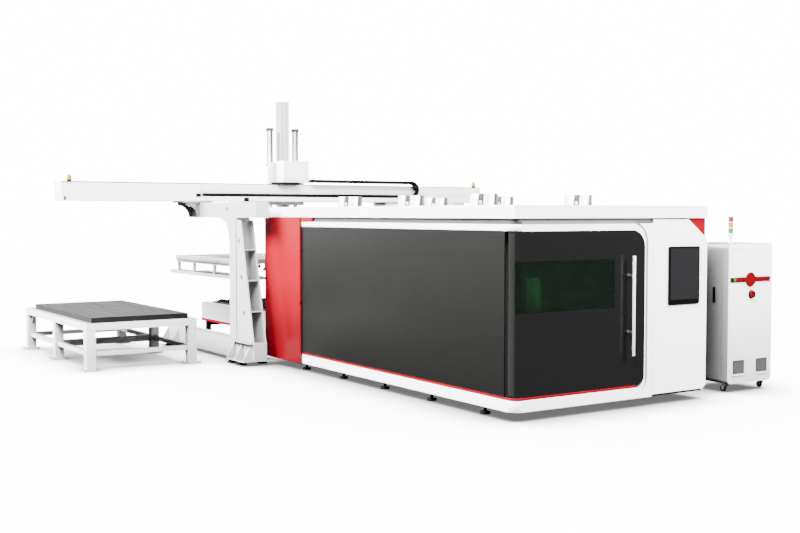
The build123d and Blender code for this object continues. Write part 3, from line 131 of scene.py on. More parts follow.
# A tint takes on a colour as far as a factor says; used for painted shade and highlight
def tint_towards(tree, tint, factor, colour, blend="MULTIPLY"):
    node = mix_node(tree, blend)
    node.inputs["B"].default_value = (*colour, 1.0)
    tree.links.new(factor, node.inputs["Factor"])
    tree.links.new(tint, node.inputs["A"])
    return node.outputs["Result"]


def occlusion(tree, reach, samples):
    node = tree.nodes.new("ShaderNodeAmbientOcclusion")
    node.inputs["Distance"].default_value = reach
    node.samples = samples
    return node


# Painted shade: an occlusion node darkens corners and hollows, where shade falls
CORNER_SAMPLES = 8


def paint_corner_shade(tree, tint, share, reach):
    node = mix_node(tree, "MULTIPLY")
    node.inputs["Factor"].default_value = share
    tree.links.new(tint, node.inputs["A"])
    tree.links.new(occlusion(tree, reach, CORNER_SAMPLES).outputs["Color"], node.inputs["B"])
    return node.outputs["Result"]


# Painted shade: faces that look up are painted towards grey, which holds back the glare of the light from
# above
TOP_SHADE_GREY = (0.13, 0.13, 0.135)
FACING_RANGE = (0.5, 0.95)


def shade_tops(tree, tint, share):
    up = spread(tree, surface_part(tree, "Normal", "Z"), 0.0, share, *FACING_RANGE)
    return tint_towards(tree, tint, up, TOP_SHADE_GREY)


# Painted shade: colour deepens towards the floor between two heights
NO_LIGHT = (0.0, 0.0, 0.0)
FULL_LIGHT = (1.0, 1.0, 1.0, 1.0)


def paint_foot_shade(tree, tint, low, high, share):
    foot = spread(tree, surface_part(tree, "Position", "Z"), share, 0.0, low, high)
    return tint_towards(tree, tint, foot, NO_LIGHT)


def add_bump(tree, shader, height, strength, distance=0.001):
    node = tree.nodes.new("ShaderNodeBump")
    set_inputs(node, {"Strength": strength, "Distance": distance})
    tree.links.new(height, node.inputs["Height"])
    tree.links.new(node.outputs["Normal"], shader.inputs["Normal"])


# Powder coat or paint: faint clouding, uneven gloss and fine orange peel
def paint(name, colour, roughness, clouding=0.05, peel=0.06, peel_scale=420.0, coat=0.0,
          gloss_level=0.5, corner_shade=0.0, reach=0.3, dust_and_top_shade=0.0, foot_shade=None):
    material, tree, shader = new_material(name)
    tint = two_tone(tree, noise(tree, scale=1.7, detail=3.0), colour, 1.0 - clouding)
    # Painted shade in corners and hollows
    if corner_shade:
        tint = paint_corner_shade(tree, tint, corner_shade, reach)
    # Painted shade on faces that look up
    if dust_and_top_shade:
        tint = shade_tops(tree, tint, dust_and_top_shade)
    # Painted shade towards the foot
    if foot_shade:
        tint = paint_foot_shade(tree, tint, *foot_shade)
    tree.links.new(tint, shader.inputs["Base Color"])
    set_inputs(shader, {"Specular IOR Level": gloss_level, "Coat Weight": coat, "Coat Roughness": 0.06})
    vary_gloss(tree, shader, noise(tree, scale=9.0, detail=4.0), roughness, 0.85, 1.15)
    add_bump(tree, shader, noise(tree, peel_scale, detail=1.0), peel)
    return material


# Drawn or ground metal with grain stretched along one axis
GRAIN_SCALE = 260.0


def metal(name, colour, roughness, stretch, grain=0.08, tone=0.1, bare=0.7):
    material, tree, shader = new_material(name)
    lines = noise(tree, GRAIN_SCALE, stretch=stretch)
    tree.links.new(two_tone(tree, lines, colour, 1.0 - tone), shader.inputs["Base Color"])
    shader.inputs["Metallic"].default_value = bare
    vary_gloss(tree, shader, lines, roughness, 0.8, 1.25)
    add_bump(tree, shader, lines, grain)
    return material


# Moulded plastic or rubber with a fine spark-eroded grain
PLASTIC_DUST = (0.25, 0.25, 0.25)


def plastic(name, colour, roughness, grain=0.12, grain_scale=900.0, dust_and_top_shade=0.12, gloss_level=0.5):
    material, tree, shader = new_material(name)
    clouds = spread(tree, noise(tree, scale=14.0, detail=4.0), 0.0, dust_and_top_shade)
    tree.links.new(blend_colours(tree, clouds, colour, PLASTIC_DUST), shader.inputs["Base Color"])
    vary_gloss(tree, shader, noise(tree, scale=30.0), roughness, 0.85, 1.1)
    shader.inputs["Specular IOR Level"].default_value = gloss_level
    add_bump(tree, shader, noise(tree, grain_scale, detail=1.0), grain)
    return material


# Polished dark sheet: smooth gloss over a faintly mottled ground
def dark_gloss(name, colour, roughness, mirror=0.2, foot_shade=None):
    material, tree, shader = new_material(name)
    tint = two_tone(tree, noise(tree, scale=1.1, detail=3.0), colour, 1.06)
    # Painted shade towards the foot
    if foot_shade:
        tint = paint_foot_shade(tree, tint, *foot_shade)
    tree.links.new(tint, shader.inputs["Base Color"])
    vary_gloss(tree, shader, noise(tree, scale=2.0, detail=3.0), roughness, 0.95, 1.05)
    shader.inputs["Specular IOR Level"].default_value = mirror
    return material


# Bright turned metal with painted reflections: dark bands are painted where it turns towards the given side
REFLECTION_SIDE = (0.5449, 0.8385, 0.0)
TURNED_GRAIN = (1.0, 1.0, 0.05)


def reflection_banded(name, colour, dark, roughness, stops):
    material, tree, shader = new_material(name)
    shape = tree.nodes.new("ShaderNodeNewGeometry")
    turn = tree.nodes.new("ShaderNodeVectorMath")
    turn.operation = "DOT_PRODUCT"
    turn.inputs[1].default_value = REFLECTION_SIDE
    tree.links.new(shape.outputs["Normal"], turn.inputs[0])
    ramp = tree.nodes.new("ShaderNodeValToRGB")
    elements = ramp.color_ramp.elements
    while len(elements) < len(stops):
        elements.new(0.5)
    for element, (place, share) in zip(elements, stops):
        element.position = place
        element.color = (share, share, share, 1.0)
    tree.links.new(spread(tree, turn.outputs["Value"], 0.0, 1.0, -1.0, 1.0), ramp.inputs["Fac"])
    tint = blend_colours(tree, ramp.outputs["Color"], dark, colour)
    tree.links.new(tint, shader.inputs["Base Color"])
    shader.inputs["Metallic"].default_value = 0.2
    lines = noise(tree, GRAIN_SCALE, stretch=TURNED_GRAIN)
    vary_gloss(tree, shader, lines, roughness, 0.8, 1.2)
    add_bump(tree, shader, lines, strength=0.02)
    return material


# Tinted laser-safe pane; its faint even glow is a painted reflection that lifts it to grey
def tinted_glass(name, colour, roughness, reflection_glow):
    material, tree, shader = new_material(name)
    tint = two_tone(tree, noise(tree, scale=1.5), colour, 0.9)
    tree.links.new(tint, shader.inputs["Base Color"])
    vary_gloss(tree, shader, noise(tree, scale=6.0, detail=4.0), roughness, 0.5, 1.5)
    set_inputs(shader, {"Transmission Weight": 1.0, "IOR": 1.45, "Emission Color": FULL_LIGHT,
                        "Emission Strength": reflection_glow})
    return material


# Mill-scale sheet: blotches of darker oxide, rolling lines; long sides painted lighter, partly as bare
# sheared steel, partly as a painted highlight of the lit side
SHEARED_EDGE_HIGHLIGHT = (0.034, 0.034, 0.035)
ROLLING_GRAIN = (0.02, 1.0, 1.0)


def mill_sheet(name, colour, roughness):
    material, tree, shader = new_material(name)
    tint = two_tone(tree, noise(tree, scale=3.2, detail=6.0), colour, 0.72)
    side = tree.nodes.new("ShaderNodeMath")
    side.operation = "ABSOLUTE"
    tree.links.new(surface_part(tree, "Normal", "Y"), side.inputs[0])
    # Bare steel and painted highlight on the long sides
    edge = spread(tree, side.outputs["Value"], 0.0, 1.0, *FACING_RANGE)
    tree.links.new(tint_towards(tree, tint, edge, SHEARED_EDGE_HIGHLIGHT, "MIX"), shader.inputs["Base Color"])
    shader.inputs["Specular IOR Level"].default_value = 0.07
    lines = noise(tree, scale=60.0, detail=3.0, stretch=ROLLING_GRAIN)
    vary_gloss(tree, shader, lines, roughness, 0.85, 1.2)
    add_bump(tree, shader, noise(tree, scale=180.0, detail=3.0), strength=0.05)
    return material


# Coloured lamp lens that glows a little
def lens(name, colour, glow):
    material, tree, shader = new_material(name)
    tint = two_tone(tree, noise(tree, scale=40.0), colour, 0.85)
    tree.links.new(tint, shader.inputs["Base Color"])
    tree.links.new(tint, shader.inputs["Emission Color"])
    set_inputs(shader, {"Emission Strength": glow, "Roughness": 0.3, "Specular IOR Level": 0.1})
    add_bump(tree, shader, noise(tree, scale=120.0, detail=1.0), strength=0.05)
    return material


# The white coats carry painted shade in their hollows and on faces that look up; with their long reach, the
# cabinet's and the table's coats paint the cabinet's side and the space under the table darker
WHITE = paint("white_coat", (0.90, 0.90, 0.895), 0.32, clouding=0.03, peel=0.02, coat=0.2,
              corner_shade=0.6, reach=0.16, dust_and_top_shade=0.85)
CABINET_WHITE = paint("cabinet_white_coat", (0.80, 0.80, 0.80), 0.34, clouding=0.03, peel=0.02,
                      corner_shade=1.0, reach=1.5, dust_and_top_shade=0.8)
# The loader's coat is white; its base is a mid grey, a shaded copy of the white coat: painted shade
LOADER_SHADED_WHITE = paint("loader_shaded_white_coat", (0.40, 0.40, 0.40), 0.36, clouding=0.03, peel=0.02, coat=0.1,
                     corner_shade=0.4, reach=0.4, dust_and_top_shade=0.75)
TABLE_WHITE = paint("table_white_coat", (0.86, 0.86, 0.86), 0.36, clouding=0.03, peel=0.02,
                    corner_shade=0.85, reach=0.9, dust_and_top_shade=0.8)
BAR_RED = paint("bar_red_coat", (0.085, 0.0006, 0.0020), 0.3, gloss_level=0.12)
BAND_GREY = paint("band_grey", (0.075, 0.076, 0.078), 0.4)
RED = paint("red_coat", (0.165, 0.0002, 0.0050), 0.22, clouding=0.04, peel=0.004, gloss_level=0.10)
# The portal's red is painted darker towards its foot: painted shade
PORTAL_RED = paint("portal_red_coat", (0.18, 0.0002, 0.0058), 0.22, clouding=0.04, peel=0.004,
                   gloss_level=0.10, foot_shade=(0.55, 1.35, 0.52))
KNEE_GREY = paint("knee_grey_coat", (0.16, 0.16, 0.165), 0.4)
DEEP_RED = paint("deep_red_coat", (0.055, 0.0008, 0.0012), 0.3)
# The dark side panels are painted darker towards their foot, standing in for their darker reflection low
# down: painted shade
PANEL_FOOT_SHADE = (0.2, 1.9, 0.42)
PANEL = dark_gloss("side_panel_gloss", (0.0074, 0.0074, 0.0070), 0.3, mirror=0.15, foot_shade=PANEL_FOOT_SHADE)
DOOR = dark_gloss("door_gloss", (0.005, 0.005, 0.005), 0.08)
# Faint glow of the pane: painted reflection
GLASS = tinted_glass("laser_glass", (0.0035, 0.026, 0.008), 0.03, reflection_glow=0.0085)
BAND_GLASS = dark_gloss("window_band_gloss", (0.0076, 0.0077, 0.0071), 0.3, mirror=0.15, foot_shade=PANEL_FOOT_SHADE)
STEEL = metal("ground_steel", (0.34, 0.345, 0.355), 0.3, stretch=(1.0, 0.04, 1.0))
# Painted reflection bands on the duct collars and the balance cylinders
COLLAR = reflection_banded("polished_white", (0.86, 0.86, 0.865), (0.020, 0.020, 0.021), 0.3,
                  ((0.0, 0.3), (0.04, 1.0), (0.24, 1.0), (0.28, 0.0), (0.43, 0.0), (0.47, 1.0),
                   (0.78, 1.0), (0.82, 0.0)))
TUBE = reflection_banded("cylinder_tube", (0.80, 0.80, 0.805), (0.055, 0.055, 0.056), 0.3,
                ((0.0, 0.15), (0.22, 0.3), (0.3, 1.0), (0.64, 1.0), (0.7, 0.0), (0.94, 0.0), (1.0, 0.5)))
DARK_STEEL = metal("dark_steel", (0.045, 0.045, 0.047), 0.35, stretch=(1.0, 1.0, 0.05), grain=0.05, bare=0.4)
SATIN = metal("satin_steel", (0.80, 0.80, 0.80), 0.3, stretch=(1.0, 1.0, 0.03), grain=0.05, tone=0.06,
              bare=0.2)
ALLOY = metal("drawn_alloy", (0.42, 0.425, 0.43), 0.42, stretch=(1.0, 1.0, 0.03), grain=0.04, tone=0.06,
              bare=0.25)
GREY = paint("dark_grey_coat", (0.040, 0.042, 0.044), 0.45)
BLACK = paint("black_coat", (0.0020, 0.0020, 0.0020), 0.5, clouding=0.2, peel=0.1, gloss_level=0.1)
TEAL = paint("teal_coat", (0.003, 0.022, 0.026), 0.35)
RUBBER = plastic("black_rubber", (0.0018, 0.0018, 0.0018), 0.75, dust_and_top_shade=0.004, gloss_level=0.12)
NYLON = plastic("black_nylon", (0.0010, 0.0010, 0.0010), 0.6, dust_and_top_shade=0.001, gloss_level=0.06)
CAP_GREY = paint("cap_grey_coat", (0.030, 0.030, 0.031), 0.5, gloss_level=0.15)
PLASTIC_GREY = plastic("grey_plastic", (0.027, 0.027, 0.028), 0.6, dust_and_top_shade=0.02, gloss_level=0.2)
PLASTIC_WHITE = plastic("white_plastic", (0.80, 0.80, 0.80), 0.35, grain=0.05, dust_and_top_shade=0.03)
PLASTIC_RED = plastic("red_plastic", (0.070, 0.0006, 0.002), 0.4, grain=0.05, dust_and_top_shade=0.001, gloss_level=0.12)
SHEET = mill_sheet("mill_scale", (0.0098, 0.0098, 0.0101), 0.6)
AMBER = lens("amber_lens", (0.34, 0.105, 0.001), glow=0.15)
BEACON = lens("beacon_lens", (0.26, 0.16, 0.002), glow=0.1)
LENS_RED = lens("red_lens", (0.13, 0.0006, 0.003), glow=0.15)
LENS_GREEN = lens("green_lens", (0.002, 0.155, 0.014), glow=0.15)
SCREEN = dark_gloss("display_glass", (0.0085, 0.0085, 0.009), 0.09)
# Lighter dark gloss for the painted highlight on the door's corner
CORNER_HIGHLIGHT_GLOSS = dark_gloss("corner_highlight_gloss", (0.0105, 0.0105, 0.010), 0.12)
# Dark grey for real panel joints and for painted shadow strips
JOINT_AND_SHADOW_GREY = paint("joint_and_shadow_grey", (0.012, 0.012, 0.0125), 0.6, gloss_level=0.1)
COLUMN_SEAM = paint("column_seam_grey", (0.12, 0.12, 0.122), 0.5)
SEAM = paint("seam_grey", (0.30, 0.30, 0.31), 0.5)
REVEAL_GREY = paint("reveal_grey", (0.16, 0.162, 0.165), 0.35)
BEZEL = plastic("bezel_black", (0.0008, 0.0008, 0.0008), 0.4, grain=0.03, dust_and_top_shade=0.0005, gloss_level=0.06)

# Edges are softened by bevels
BEVEL_ANGLE = math.radians(40.0)
BEVEL_SEGMENTS = 2
WELD_REACH = 0.00005
FLAT_ANGLE = math.radians(1.0)


def soften(obj, width):
    bevel = obj.modifiers.new("bevel", "BEVEL")
    bevel.width = width
    bevel.segments = BEVEL_SEGMENTS
    bevel.limit_method = "ANGLE"
    bevel.angle_limit = BEVEL_ANGLE
    bevel.harden_normals = True


# CAD nodes keep their mesh; modifiers clean it and soften its edges
def dress(node, material, width):
    obj = NODES[node]
    obj.data.materials.clear()
    obj.data.materials.append(material)
    if width:
        weld = obj.modifiers.new("weld", "WELD")
        weld.merge_threshold = WELD_REACH
        flat = obj.modifiers.new("flat", "DECIMATE")
        flat.decimate_type = "DISSOLVE"
        flat.angle_limit = FLAT_ANGLE
        soften(obj, width)


# Nodes of each finish, with the width of their softened edges
FINISHES = {
    WHITE: {"cabin_skirt": 0.012, "side_cornice": 0.030, "front_rim": 0.012, "front_panel": 0.006,
            "roof": 0.010, "loader_beam": 0.006, "loader_carriage": 0.006},
    LOADER_SHADED_WHITE: {"near_support": 0.006, "far_support": 0.006, "exchange_frame": 0.006,
                   "fork_near": 0.003, "fork_far": 0.003},
    CABINET_WHITE: {"cabinet_body": 0.008, "cabinet_door": 0.003},
    TABLE_WHITE: {"loading_table": 0.005},
    RED: {"skirt_trim": 0.004, "corner_accent": 0.003},
    PORTAL_RED: {"rear_portal": 0.012},
    BAR_RED: {"indicator_bar": 0.003},
    PANEL: {"far_panel": 0.004, "side_panel": 0.001},
    BAND_GLASS: {"side_window": 0.0},
    DOOR: {"front_door": 0.0},
    GLASS: {"door_window": 0.0},
    BEZEL: {"operator_screen": 0.004},
    BAND_GREY: {"upper_band": 0.004},
    KNEE_GREY: {"beam_saddles": 0.004},
    GREY: {"machine_bed": 0.004, "cabin_posts": 0.004, "door_pivots": 0.003, "rear_shutter": 0.003,
           "head_carriage": 0.006, "gantry_beam": 0.006},
    STEEL: {"guide_rails": 0.002, "beam_rails": 0.002, "balance_rods": 0.001, "caster_forks": 0.001},
    SATIN: {"door_handle": 0.005, "cutting_head": 0.003},
    ALLOY: {"lift_mast": 0.002, "suction_frame": 0.004},
    COLLAR: {"duct_collars": 0.003},
    TUBE: {"balance_cylinders": 0.002},
    SHEET: {"sheet_stack": 0.001},
    BLACK: {"upper_pallet": 0.0, "lower_pallet": 0.0, "exchange_legs": 0.004},
    TEAL: {"pallet_drive": 0.004},
    NYLON: {"chain_lower_run": 0.0, "chain_bend": 0.0, "chain_upper_run": 0.0, "cabinet_latch": 0.004},
    RUBBER: {"levelling_feet": 0.004, "suction_cups": 0.002, "caster_wheels": 0.005},
    PLASTIC_RED: {"isolator_knob": 0.004},
    PLASTIC_GREY: {"cabinet_vents": 0.003},
    PLASTIC_WHITE: {"tower_stem": 0.002},
    LENS_RED: {"tower_lenses": 0.002},
    AMBER: {"beam_lamps": 0.004},
}
for material, widths in FINISHES.items():
    for node, width in widths.items():
        dress(node, material, width)


# Mesh helpers; put sets a piece on a body with its finish
SHARP_ANGLE = math.radians(35.0)


def new_object(name, bm, material):
    mesh = bpy.data.meshes.new(name)
    bm.to_mesh(mesh)
    bm.free()
    mesh.materials.append(material)
    obj = bpy.data.objects.new(name, mesh)
    SCENE.collection.objects.link(obj)
    return obj


def put(name, bm, material, body, bevel=0.0, smooth=False):
    bmesh.ops.recalc_face_normals(bm, faces=bm.faces)
    obj = new_object(name, bm, material)
    if smooth:
        obj.data.shade_smooth()
        obj.data.set_sharp_from_angle(angle=SHARP_ANGLE)
    if bevel:
        soften(obj, bevel)
    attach(obj, body)
    return obj


def corners(node):
    low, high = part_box(node)
    return Vector(low), Vector(high)


def block(bm, low, high):
    made = bmesh.ops.create_cube(bm, size=1.0)["verts"]
    size = [b - a for a, b in zip(low, high)]
    middle = [(a + b) / 2 for a, b in zip(low, high)]
    bmesh.ops.scale(bm, vec=size, verts=made)
    bmesh.ops.translate(bm, vec=middle, verts=made)
    return made


AXES = {"X": Matrix.Rotation(math.pi / 2, 4, "Y"), "Y": Matrix.Rotation(-math.pi / 2, 4, "X"),
        "Z": Matrix.Identity(4)}


# Turned piece: (radius, height) points revolved about an axis through a place
def turned(bm, profile, place, axis="Z", steps=24, closed=False):
    rings = []
    turn = Matrix.Translation(place) @ AXES[axis]
    for radius, height in profile:
        ring = []
        for step in range(steps):
            angle = 2 * math.pi * step / steps
            point = Vector((radius * math.cos(angle), radius * math.sin(angle), height))
            ring.append(bm.verts.new(turn @ point))
        rings.append(ring)
    if closed:
        rings.append(rings[0])
    for lower, upper in zip(rings, rings[1:]):
        for step in range(steps):
            following = (step + 1) % steps
            bm.faces.new((lower[step], lower[following], upper[following], upper[step]))
    if not closed:
        bm.faces.new(reversed(rings[0]))
        bm.faces.new(rings[-1])


def raised(profile, z):
    return [(radius, z + rise) for radius, rise in profile]


# Standing hexagon bolt on its washer, in shares of the bolt's radius and height
WASHER_SHARES = (1.5, 0.25)
BOLT_SHARES = ((1.0, 0.0), (1.0, 0.65), (0.85, 0.75))


def hex_bolt(bm, place, radius, height):
    rim, washer = radius * WASHER_SHARES[0], height * WASHER_SHARES[1]
    turned(bm, ((rim, 0.0), (rim, washer)), place, steps=16)
    head = Vector(place) + Vector((0.0, 0.0, washer))
    turned(bm, [(radius * across, height * up) for across, up in BOLT_SHARES], head, steps=6)


# Prism from an outline in two axes, drawn along the third
PLANES = {"XZ": lambda a, b, c: (a, c, b), "YZ": lambda a, b, c: (c, a, b)}


def prism(bm, outline, plane, start, stop):
    place = PLANES[plane]
    near = [bm.verts.new(place(a, b, start)) for a, b in outline]
    far = [bm.verts.new(place(a, b, stop)) for a, b in outline]
    bm.faces.new(near)
    bm.faces.new(list(reversed(far)))
    count = len(outline)
    for i in range(count):
        j = (i + 1) % count
        bm.faces.new((near[i], far[i], far[j], near[j]))


# Closed bar through rows of points
def bar(bm, rows):
    rows = [[bm.verts.new(point) for point in row] for row in rows]
    count = len(rows[0])
    for first, second in zip(rows, rows[1:]):
        for i in range(count):
            j = (i + 1) % count
            bm.faces.new((first[i], first[j], second[j], second[i]))
    bm.faces.new(rows[0])
    bm.faces.new(list(reversed(rows[-1])))


# Links of the cable chain: two side plates and cross bars to each link
LINK_PITCH = 0.062
LINK_PLATE = 0.009
LINK_HEIGHT = 0.054
LINK_BARS = (-0.019, 0.019)
BAR_HALF = 0.004
BAR_SHARE = 0.28
BEND_ROOM = 0.002
BEND_SETBACK = 0.056
BEND_LINKS = 6
BEND_LINK_SHARE = 1.16


def chain_link(bm, middle, along, up, half_width, length):
    verts = []
    for way in (-1, 1):
        y = way * (half_width - LINK_PLATE / 2)
        verts += block(bm, (-length / 2, y - LINK_PLATE / 2, -LINK_HEIGHT / 2),
                       (length / 2, y + LINK_PLATE / 2, LINK_HEIGHT / 2))
    for z in LINK_BARS:
        verts += block(bm, (-length * BAR_SHARE, -half_width, z - BAR_HALF),
                       (length * BAR_SHARE, half_width, z + BAR_HALF))
    turn = Matrix((along, along.cross(up), up)).transposed().to_4x4()
    bmesh.ops.transform(bm, matrix=Matrix.Translation(middle) @ turn, verts=verts)


def straight_links(bm, low, high, z):
    count = max(1, round((high.y - low.y) / LINK_PITCH))
    pitch = (high.y - low.y) / count
    for place in range(count):
        middle = Vector(((low.x + high.x) / 2, low.y + pitch * (place + 0.5), z))
        chain_link(bm, middle, Vector((0, 1, 0)), Vector((0, 0, 1)), (high.x - low.x) / 2, pitch)


def lower_run():
    low, high = corners("chain_lower_run")
    bm = bmesh.new()
    straight_links(bm, low, high, (low.z + high.z) / 2)
    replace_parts(put("chain_links_lower", bm, NYLON, "cell"), "chain_lower_run")


# The bend is narrower below, where it passes the lower run
def chain_bend():
    low, high = corners("chain_bend")
    reach = (high.z - low.z) / 2
    radius = reach - LINK_HEIGHT / 2 - BEND_ROOM
    middle = Vector((low.x, high.y - reach, (low.z + high.z) / 2))
    narrow = low.x + BEND_SETBACK
    bm = bmesh.new()
    count = max(BEND_LINKS, round(math.pi * radius / LINK_PITCH))
    length = math.pi * radius / count * BEND_LINK_SHARE
    for place in range(count):
        angle = -math.pi / 2 + math.pi * (place + 0.5) / count
        out = Vector((0, math.cos(angle), math.sin(angle)))
        along = Vector((0, -math.sin(angle), math.cos(angle)))
        side = narrow if angle < 0 else low.x
        centre = Vector(((side + high.x) / 2, middle.y, middle.z))
        chain_link(bm, centre + out * radius, along, -out, (high.x - side) / 2, length)
    straight_links(bm, Vector((narrow, low.y)), Vector((high.x, middle.y)),
                   low.z + LINK_HEIGHT / 2 + BEND_ROOM)
    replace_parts(put("chain_links_bend", bm, NYLON, "chain_bend"), "chain_bend")


# The upper run spans from the carriage to the bend
def upper_run():
    low, high = corners("chain_upper_run")
    bm = bmesh.new()
    straight_links(bm, low, high, (low.z + high.z) / 2)
    bmesh.ops.recalc_face_normals(bm, faces=bm.faces)
    run = new_object("chain_links_upper", bm, NYLON)
    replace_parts(run, "chain_upper_run")
    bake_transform(run)


# Sheets lie one on another, each a little out of line
SHEET_COUNT = 19
SHEET_SHARE = 0.93
SHEET_SLIP = 0.0012
SLIP_TURN, DRIFT_TURN = 2.4, 1.7


def sheet_layers():
    low, high = corners("sheet_stack")
    bm = bmesh.new()
    step = (high.z - low.z) / SHEET_COUNT
    for place in range(SHEET_COUNT):
        slip = SHEET_SLIP * (1 + math.sin(place * SLIP_TURN))
        drift = SHEET_SLIP * (1 + math.cos(place * DRIFT_TURN))
        z = low.z + step * place
        block(bm, (low.x + slip, low.y + drift, z), (high.x - drift, high.y - slip, z + step * SHEET_SHARE))
    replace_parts(put("sheet_layers", bm, SHEET, "cell"), "sheet_stack")


# Suction cups: bellows on sprung stems, in rows under the four bars
CUP_BARS = (-4.1535, -3.6535, -3.1535, -2.4935)
CUP_OFFSETS = (-0.56, -0.19, 0.19, 0.56)
BELLOWS = ((0.050, 0.0), (0.052, 0.003), (0.036, 0.014), (0.043, 0.021), (0.030, 0.029),
           (0.035, 0.036), (0.020, 0.046), (0.020, 0.052), (0.014, 0.054))
STEM_RADIUS, STEM_FOOT = 0.009, 0.050
STEM_NUT, STEM_NUT_HEIGHT = 0.016, 0.014
SPRING_FOOT, SPRING_PITCH, SPRING_TURNS = 0.056, 0.010, 6
SPRING_COIL = ((0.0125, 0.0), (0.0145, 0.002), (0.0125, 0.004))


def suction_bellows():
    low, high = corners("suction_cups")
    middle = (low.y + high.y) / 2
    top = high.z - low.z
    places = [(x, middle + offset, low.z) for x in CUP_BARS for offset in CUP_OFFSETS]
    bellows, stems = bmesh.new(), bmesh.new()
    for place in places:
        turned(bellows, BELLOWS, place)
        turned(stems, ((STEM_RADIUS, STEM_FOOT), (STEM_RADIUS, top)), place, steps=12)
        turned(stems, ((STEM_NUT, top - STEM_NUT_HEIGHT), (STEM_NUT, top)), place, steps=6)
        for turn in range(SPRING_TURNS):
            turned(stems, raised(SPRING_COIL, SPRING_FOOT + SPRING_PITCH * turn), place, steps=12)
    cups = put("suction_bellows", bellows, RUBBER, "lift", smooth=True)
    put("suction_stems", stems, STEEL, "lift", smooth=True)
    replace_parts(cups, "suction_cups")


# Dark end fittings of the two balance cylinders
CAP_SKIN = 0.001
CAP_DEPTH, CAP_CHAMFER = 0.046, 0.003
FOOT_DEPTH = 0.033
STRAP_BAND = (3.124, 3.166)
TIE_CIRCLE, TIE_RADIUS, TIE_HEIGHT = 0.045, 0.006, 0.012


def cylinder_fittings():
    low, high = corners("balance_cylinders")
    x = (low.x + high.x) / 2
    radius = (high.x - low.x) / 2
    ring = radius + CAP_SKIN
    top = high.z + CAP_SKIN
    bands = (((ring, high.z - CAP_DEPTH), (ring, top - CAP_CHAMFER), (ring - CAP_CHAMFER, top)),
             [(ring, z) for z in STRAP_BAND],
             ((ring, low.z - CAP_SKIN), (ring, low.z + FOOT_DEPTH)))
    bm = bmesh.new()
    for y in (low.y + radius, high.y - radius):
        for profile in bands:
            turned(bm, profile, (x, y, 0.0), steps=32)
        for step in range(4):
            angle = math.pi / 4 + step * math.pi / 2
            place = (x + TIE_CIRCLE * math.cos(angle), y + TIE_CIRCLE * math.sin(angle), high.z - TIE_HEIGHT)
            hex_bolt(bm, place, TIE_RADIUS, TIE_HEIGHT)
    put("cylinder_fittings", bm, CAP_GREY, "loader_carriage", smooth=True)


# Red line along the foot of the two exchange boxes
STRIPE_THICK, STRIPE_HEIGHT = 0.0015, 0.045


def exchange_stripes():
    low, high = corners("exchange_frame")
    bm = bmesh.new()
    for y in (low.y - STRIPE_THICK, high.y):
        block(bm, (low.x, y, low.z), (high.x, y + STRIPE_THICK, low.z + STRIPE_HEIGHT))
    put("exchange_stripes", bm, RED, "cell")


# Dark line where the red portal meets the cabin side
EDGE_HALF, EDGE_INSET, EDGE_DROP = 0.012, 0.004, 0.065


def portal_edge():
    low, high = corners("rear_portal")
    side = corners("side_panel")[0]
    front = corners("cabin_skirt")[0].x
    bm = bmesh.new()
    block(bm, (front - EDGE_HALF, low.y + EDGE_INSET, low.z + EDGE_INSET),
          (front + EDGE_HALF, side.y, high.z - EDGE_DROP))
    put("portal_edge", bm, DEEP_RED, "cell", bevel=0.002)


# Grey chamfered reveal round the door, on the white rim
DOOR_ROUND = 0.11
REVEAL_GAP, REVEAL_WIDTH, REVEAL_DROP = 0.010, 0.050, 0.032
REVEAL_LOW_RADIUS, REVEAL_HIGH_RADIUS = 0.13, 0.21
REVEAL_DEPTH, REVEAL_SINK, REVEAL_RISE = 0.030, 0.0005, 0.0015
REVEAL_STEPS = 10


def quarter(y, z, radius, start):
    points = []
    for step in range(REVEAL_STEPS + 1):
        angle = start - math.pi / 2 * step / REVEAL_STEPS
        points.append((y + radius * math.cos(angle), z + radius * math.sin(angle)))
    return points


def reveal_path(door_low, door_high, grow, low_radius, high_radius):
    right = door_high.y + grow
    top = door_high.z + grow
    bottom = door_low.z - REVEAL_DROP
    upper = quarter(right - high_radius, top - high_radius, high_radius, math.pi / 2)
    lower = quarter(right - low_radius, bottom + low_radius, low_radius, 0.0)
    return [(door_low.y + DOOR_ROUND, top), *upper, *lower]


def door_reveal():
    low, high = corners("front_door")
    rim = corners("front_rim")[1].x
    inner = reveal_path(low, high, REVEAL_GAP, REVEAL_LOW_RADIUS, REVEAL_HIGH_RADIUS)
    outer = reveal_path(low, high, REVEAL_WIDTH, REVEAL_LOW_RADIUS + REVEAL_WIDTH,
                        REVEAL_HIGH_RADIUS + REVEAL_WIDTH)
    bm = bmesh.new()
    bar(bm, [((rim - REVEAL_DEPTH, *near), (rim - REVEAL_SINK, *near),
              (rim + REVEAL_RISE, *far), (rim - REVEAL_DEPTH, *far)) for near, far in zip(inner, outer)])
    put("door_reveal", bm, REVEAL_GREY, "cell", smooth=True)


# Touch screen: glass set in the black frame, with a dark chin
SCREEN_RIM, SCREEN_CHIN = 0.022, 0.058
SCREEN_SINK, SCREEN_RISE = 0.003, 0.0008


def screen_glass():
    low, high = corners("operator_screen")
    bm = bmesh.new()
    block(bm, (high.x - SCREEN_SINK, low.y + SCREEN_RIM, low.z + SCREEN_CHIN),
          (high.x + SCREEN_RISE, high.y - SCREEN_RIM, high.z - SCREEN_RIM))
    put("screen_glass", bm, SCREEN, "cell", bevel=0.0006)


# Rosettes and sleeves on the posts of the door handle
HANDLE_POSTS = (0.907, 1.571)
ROSETTE = ((0.021, 0.0), (0.021, 0.004), (0.018, 0.006))
SLEEVE_RADIUS, GRIP_DEPTH = 0.0125, 0.034


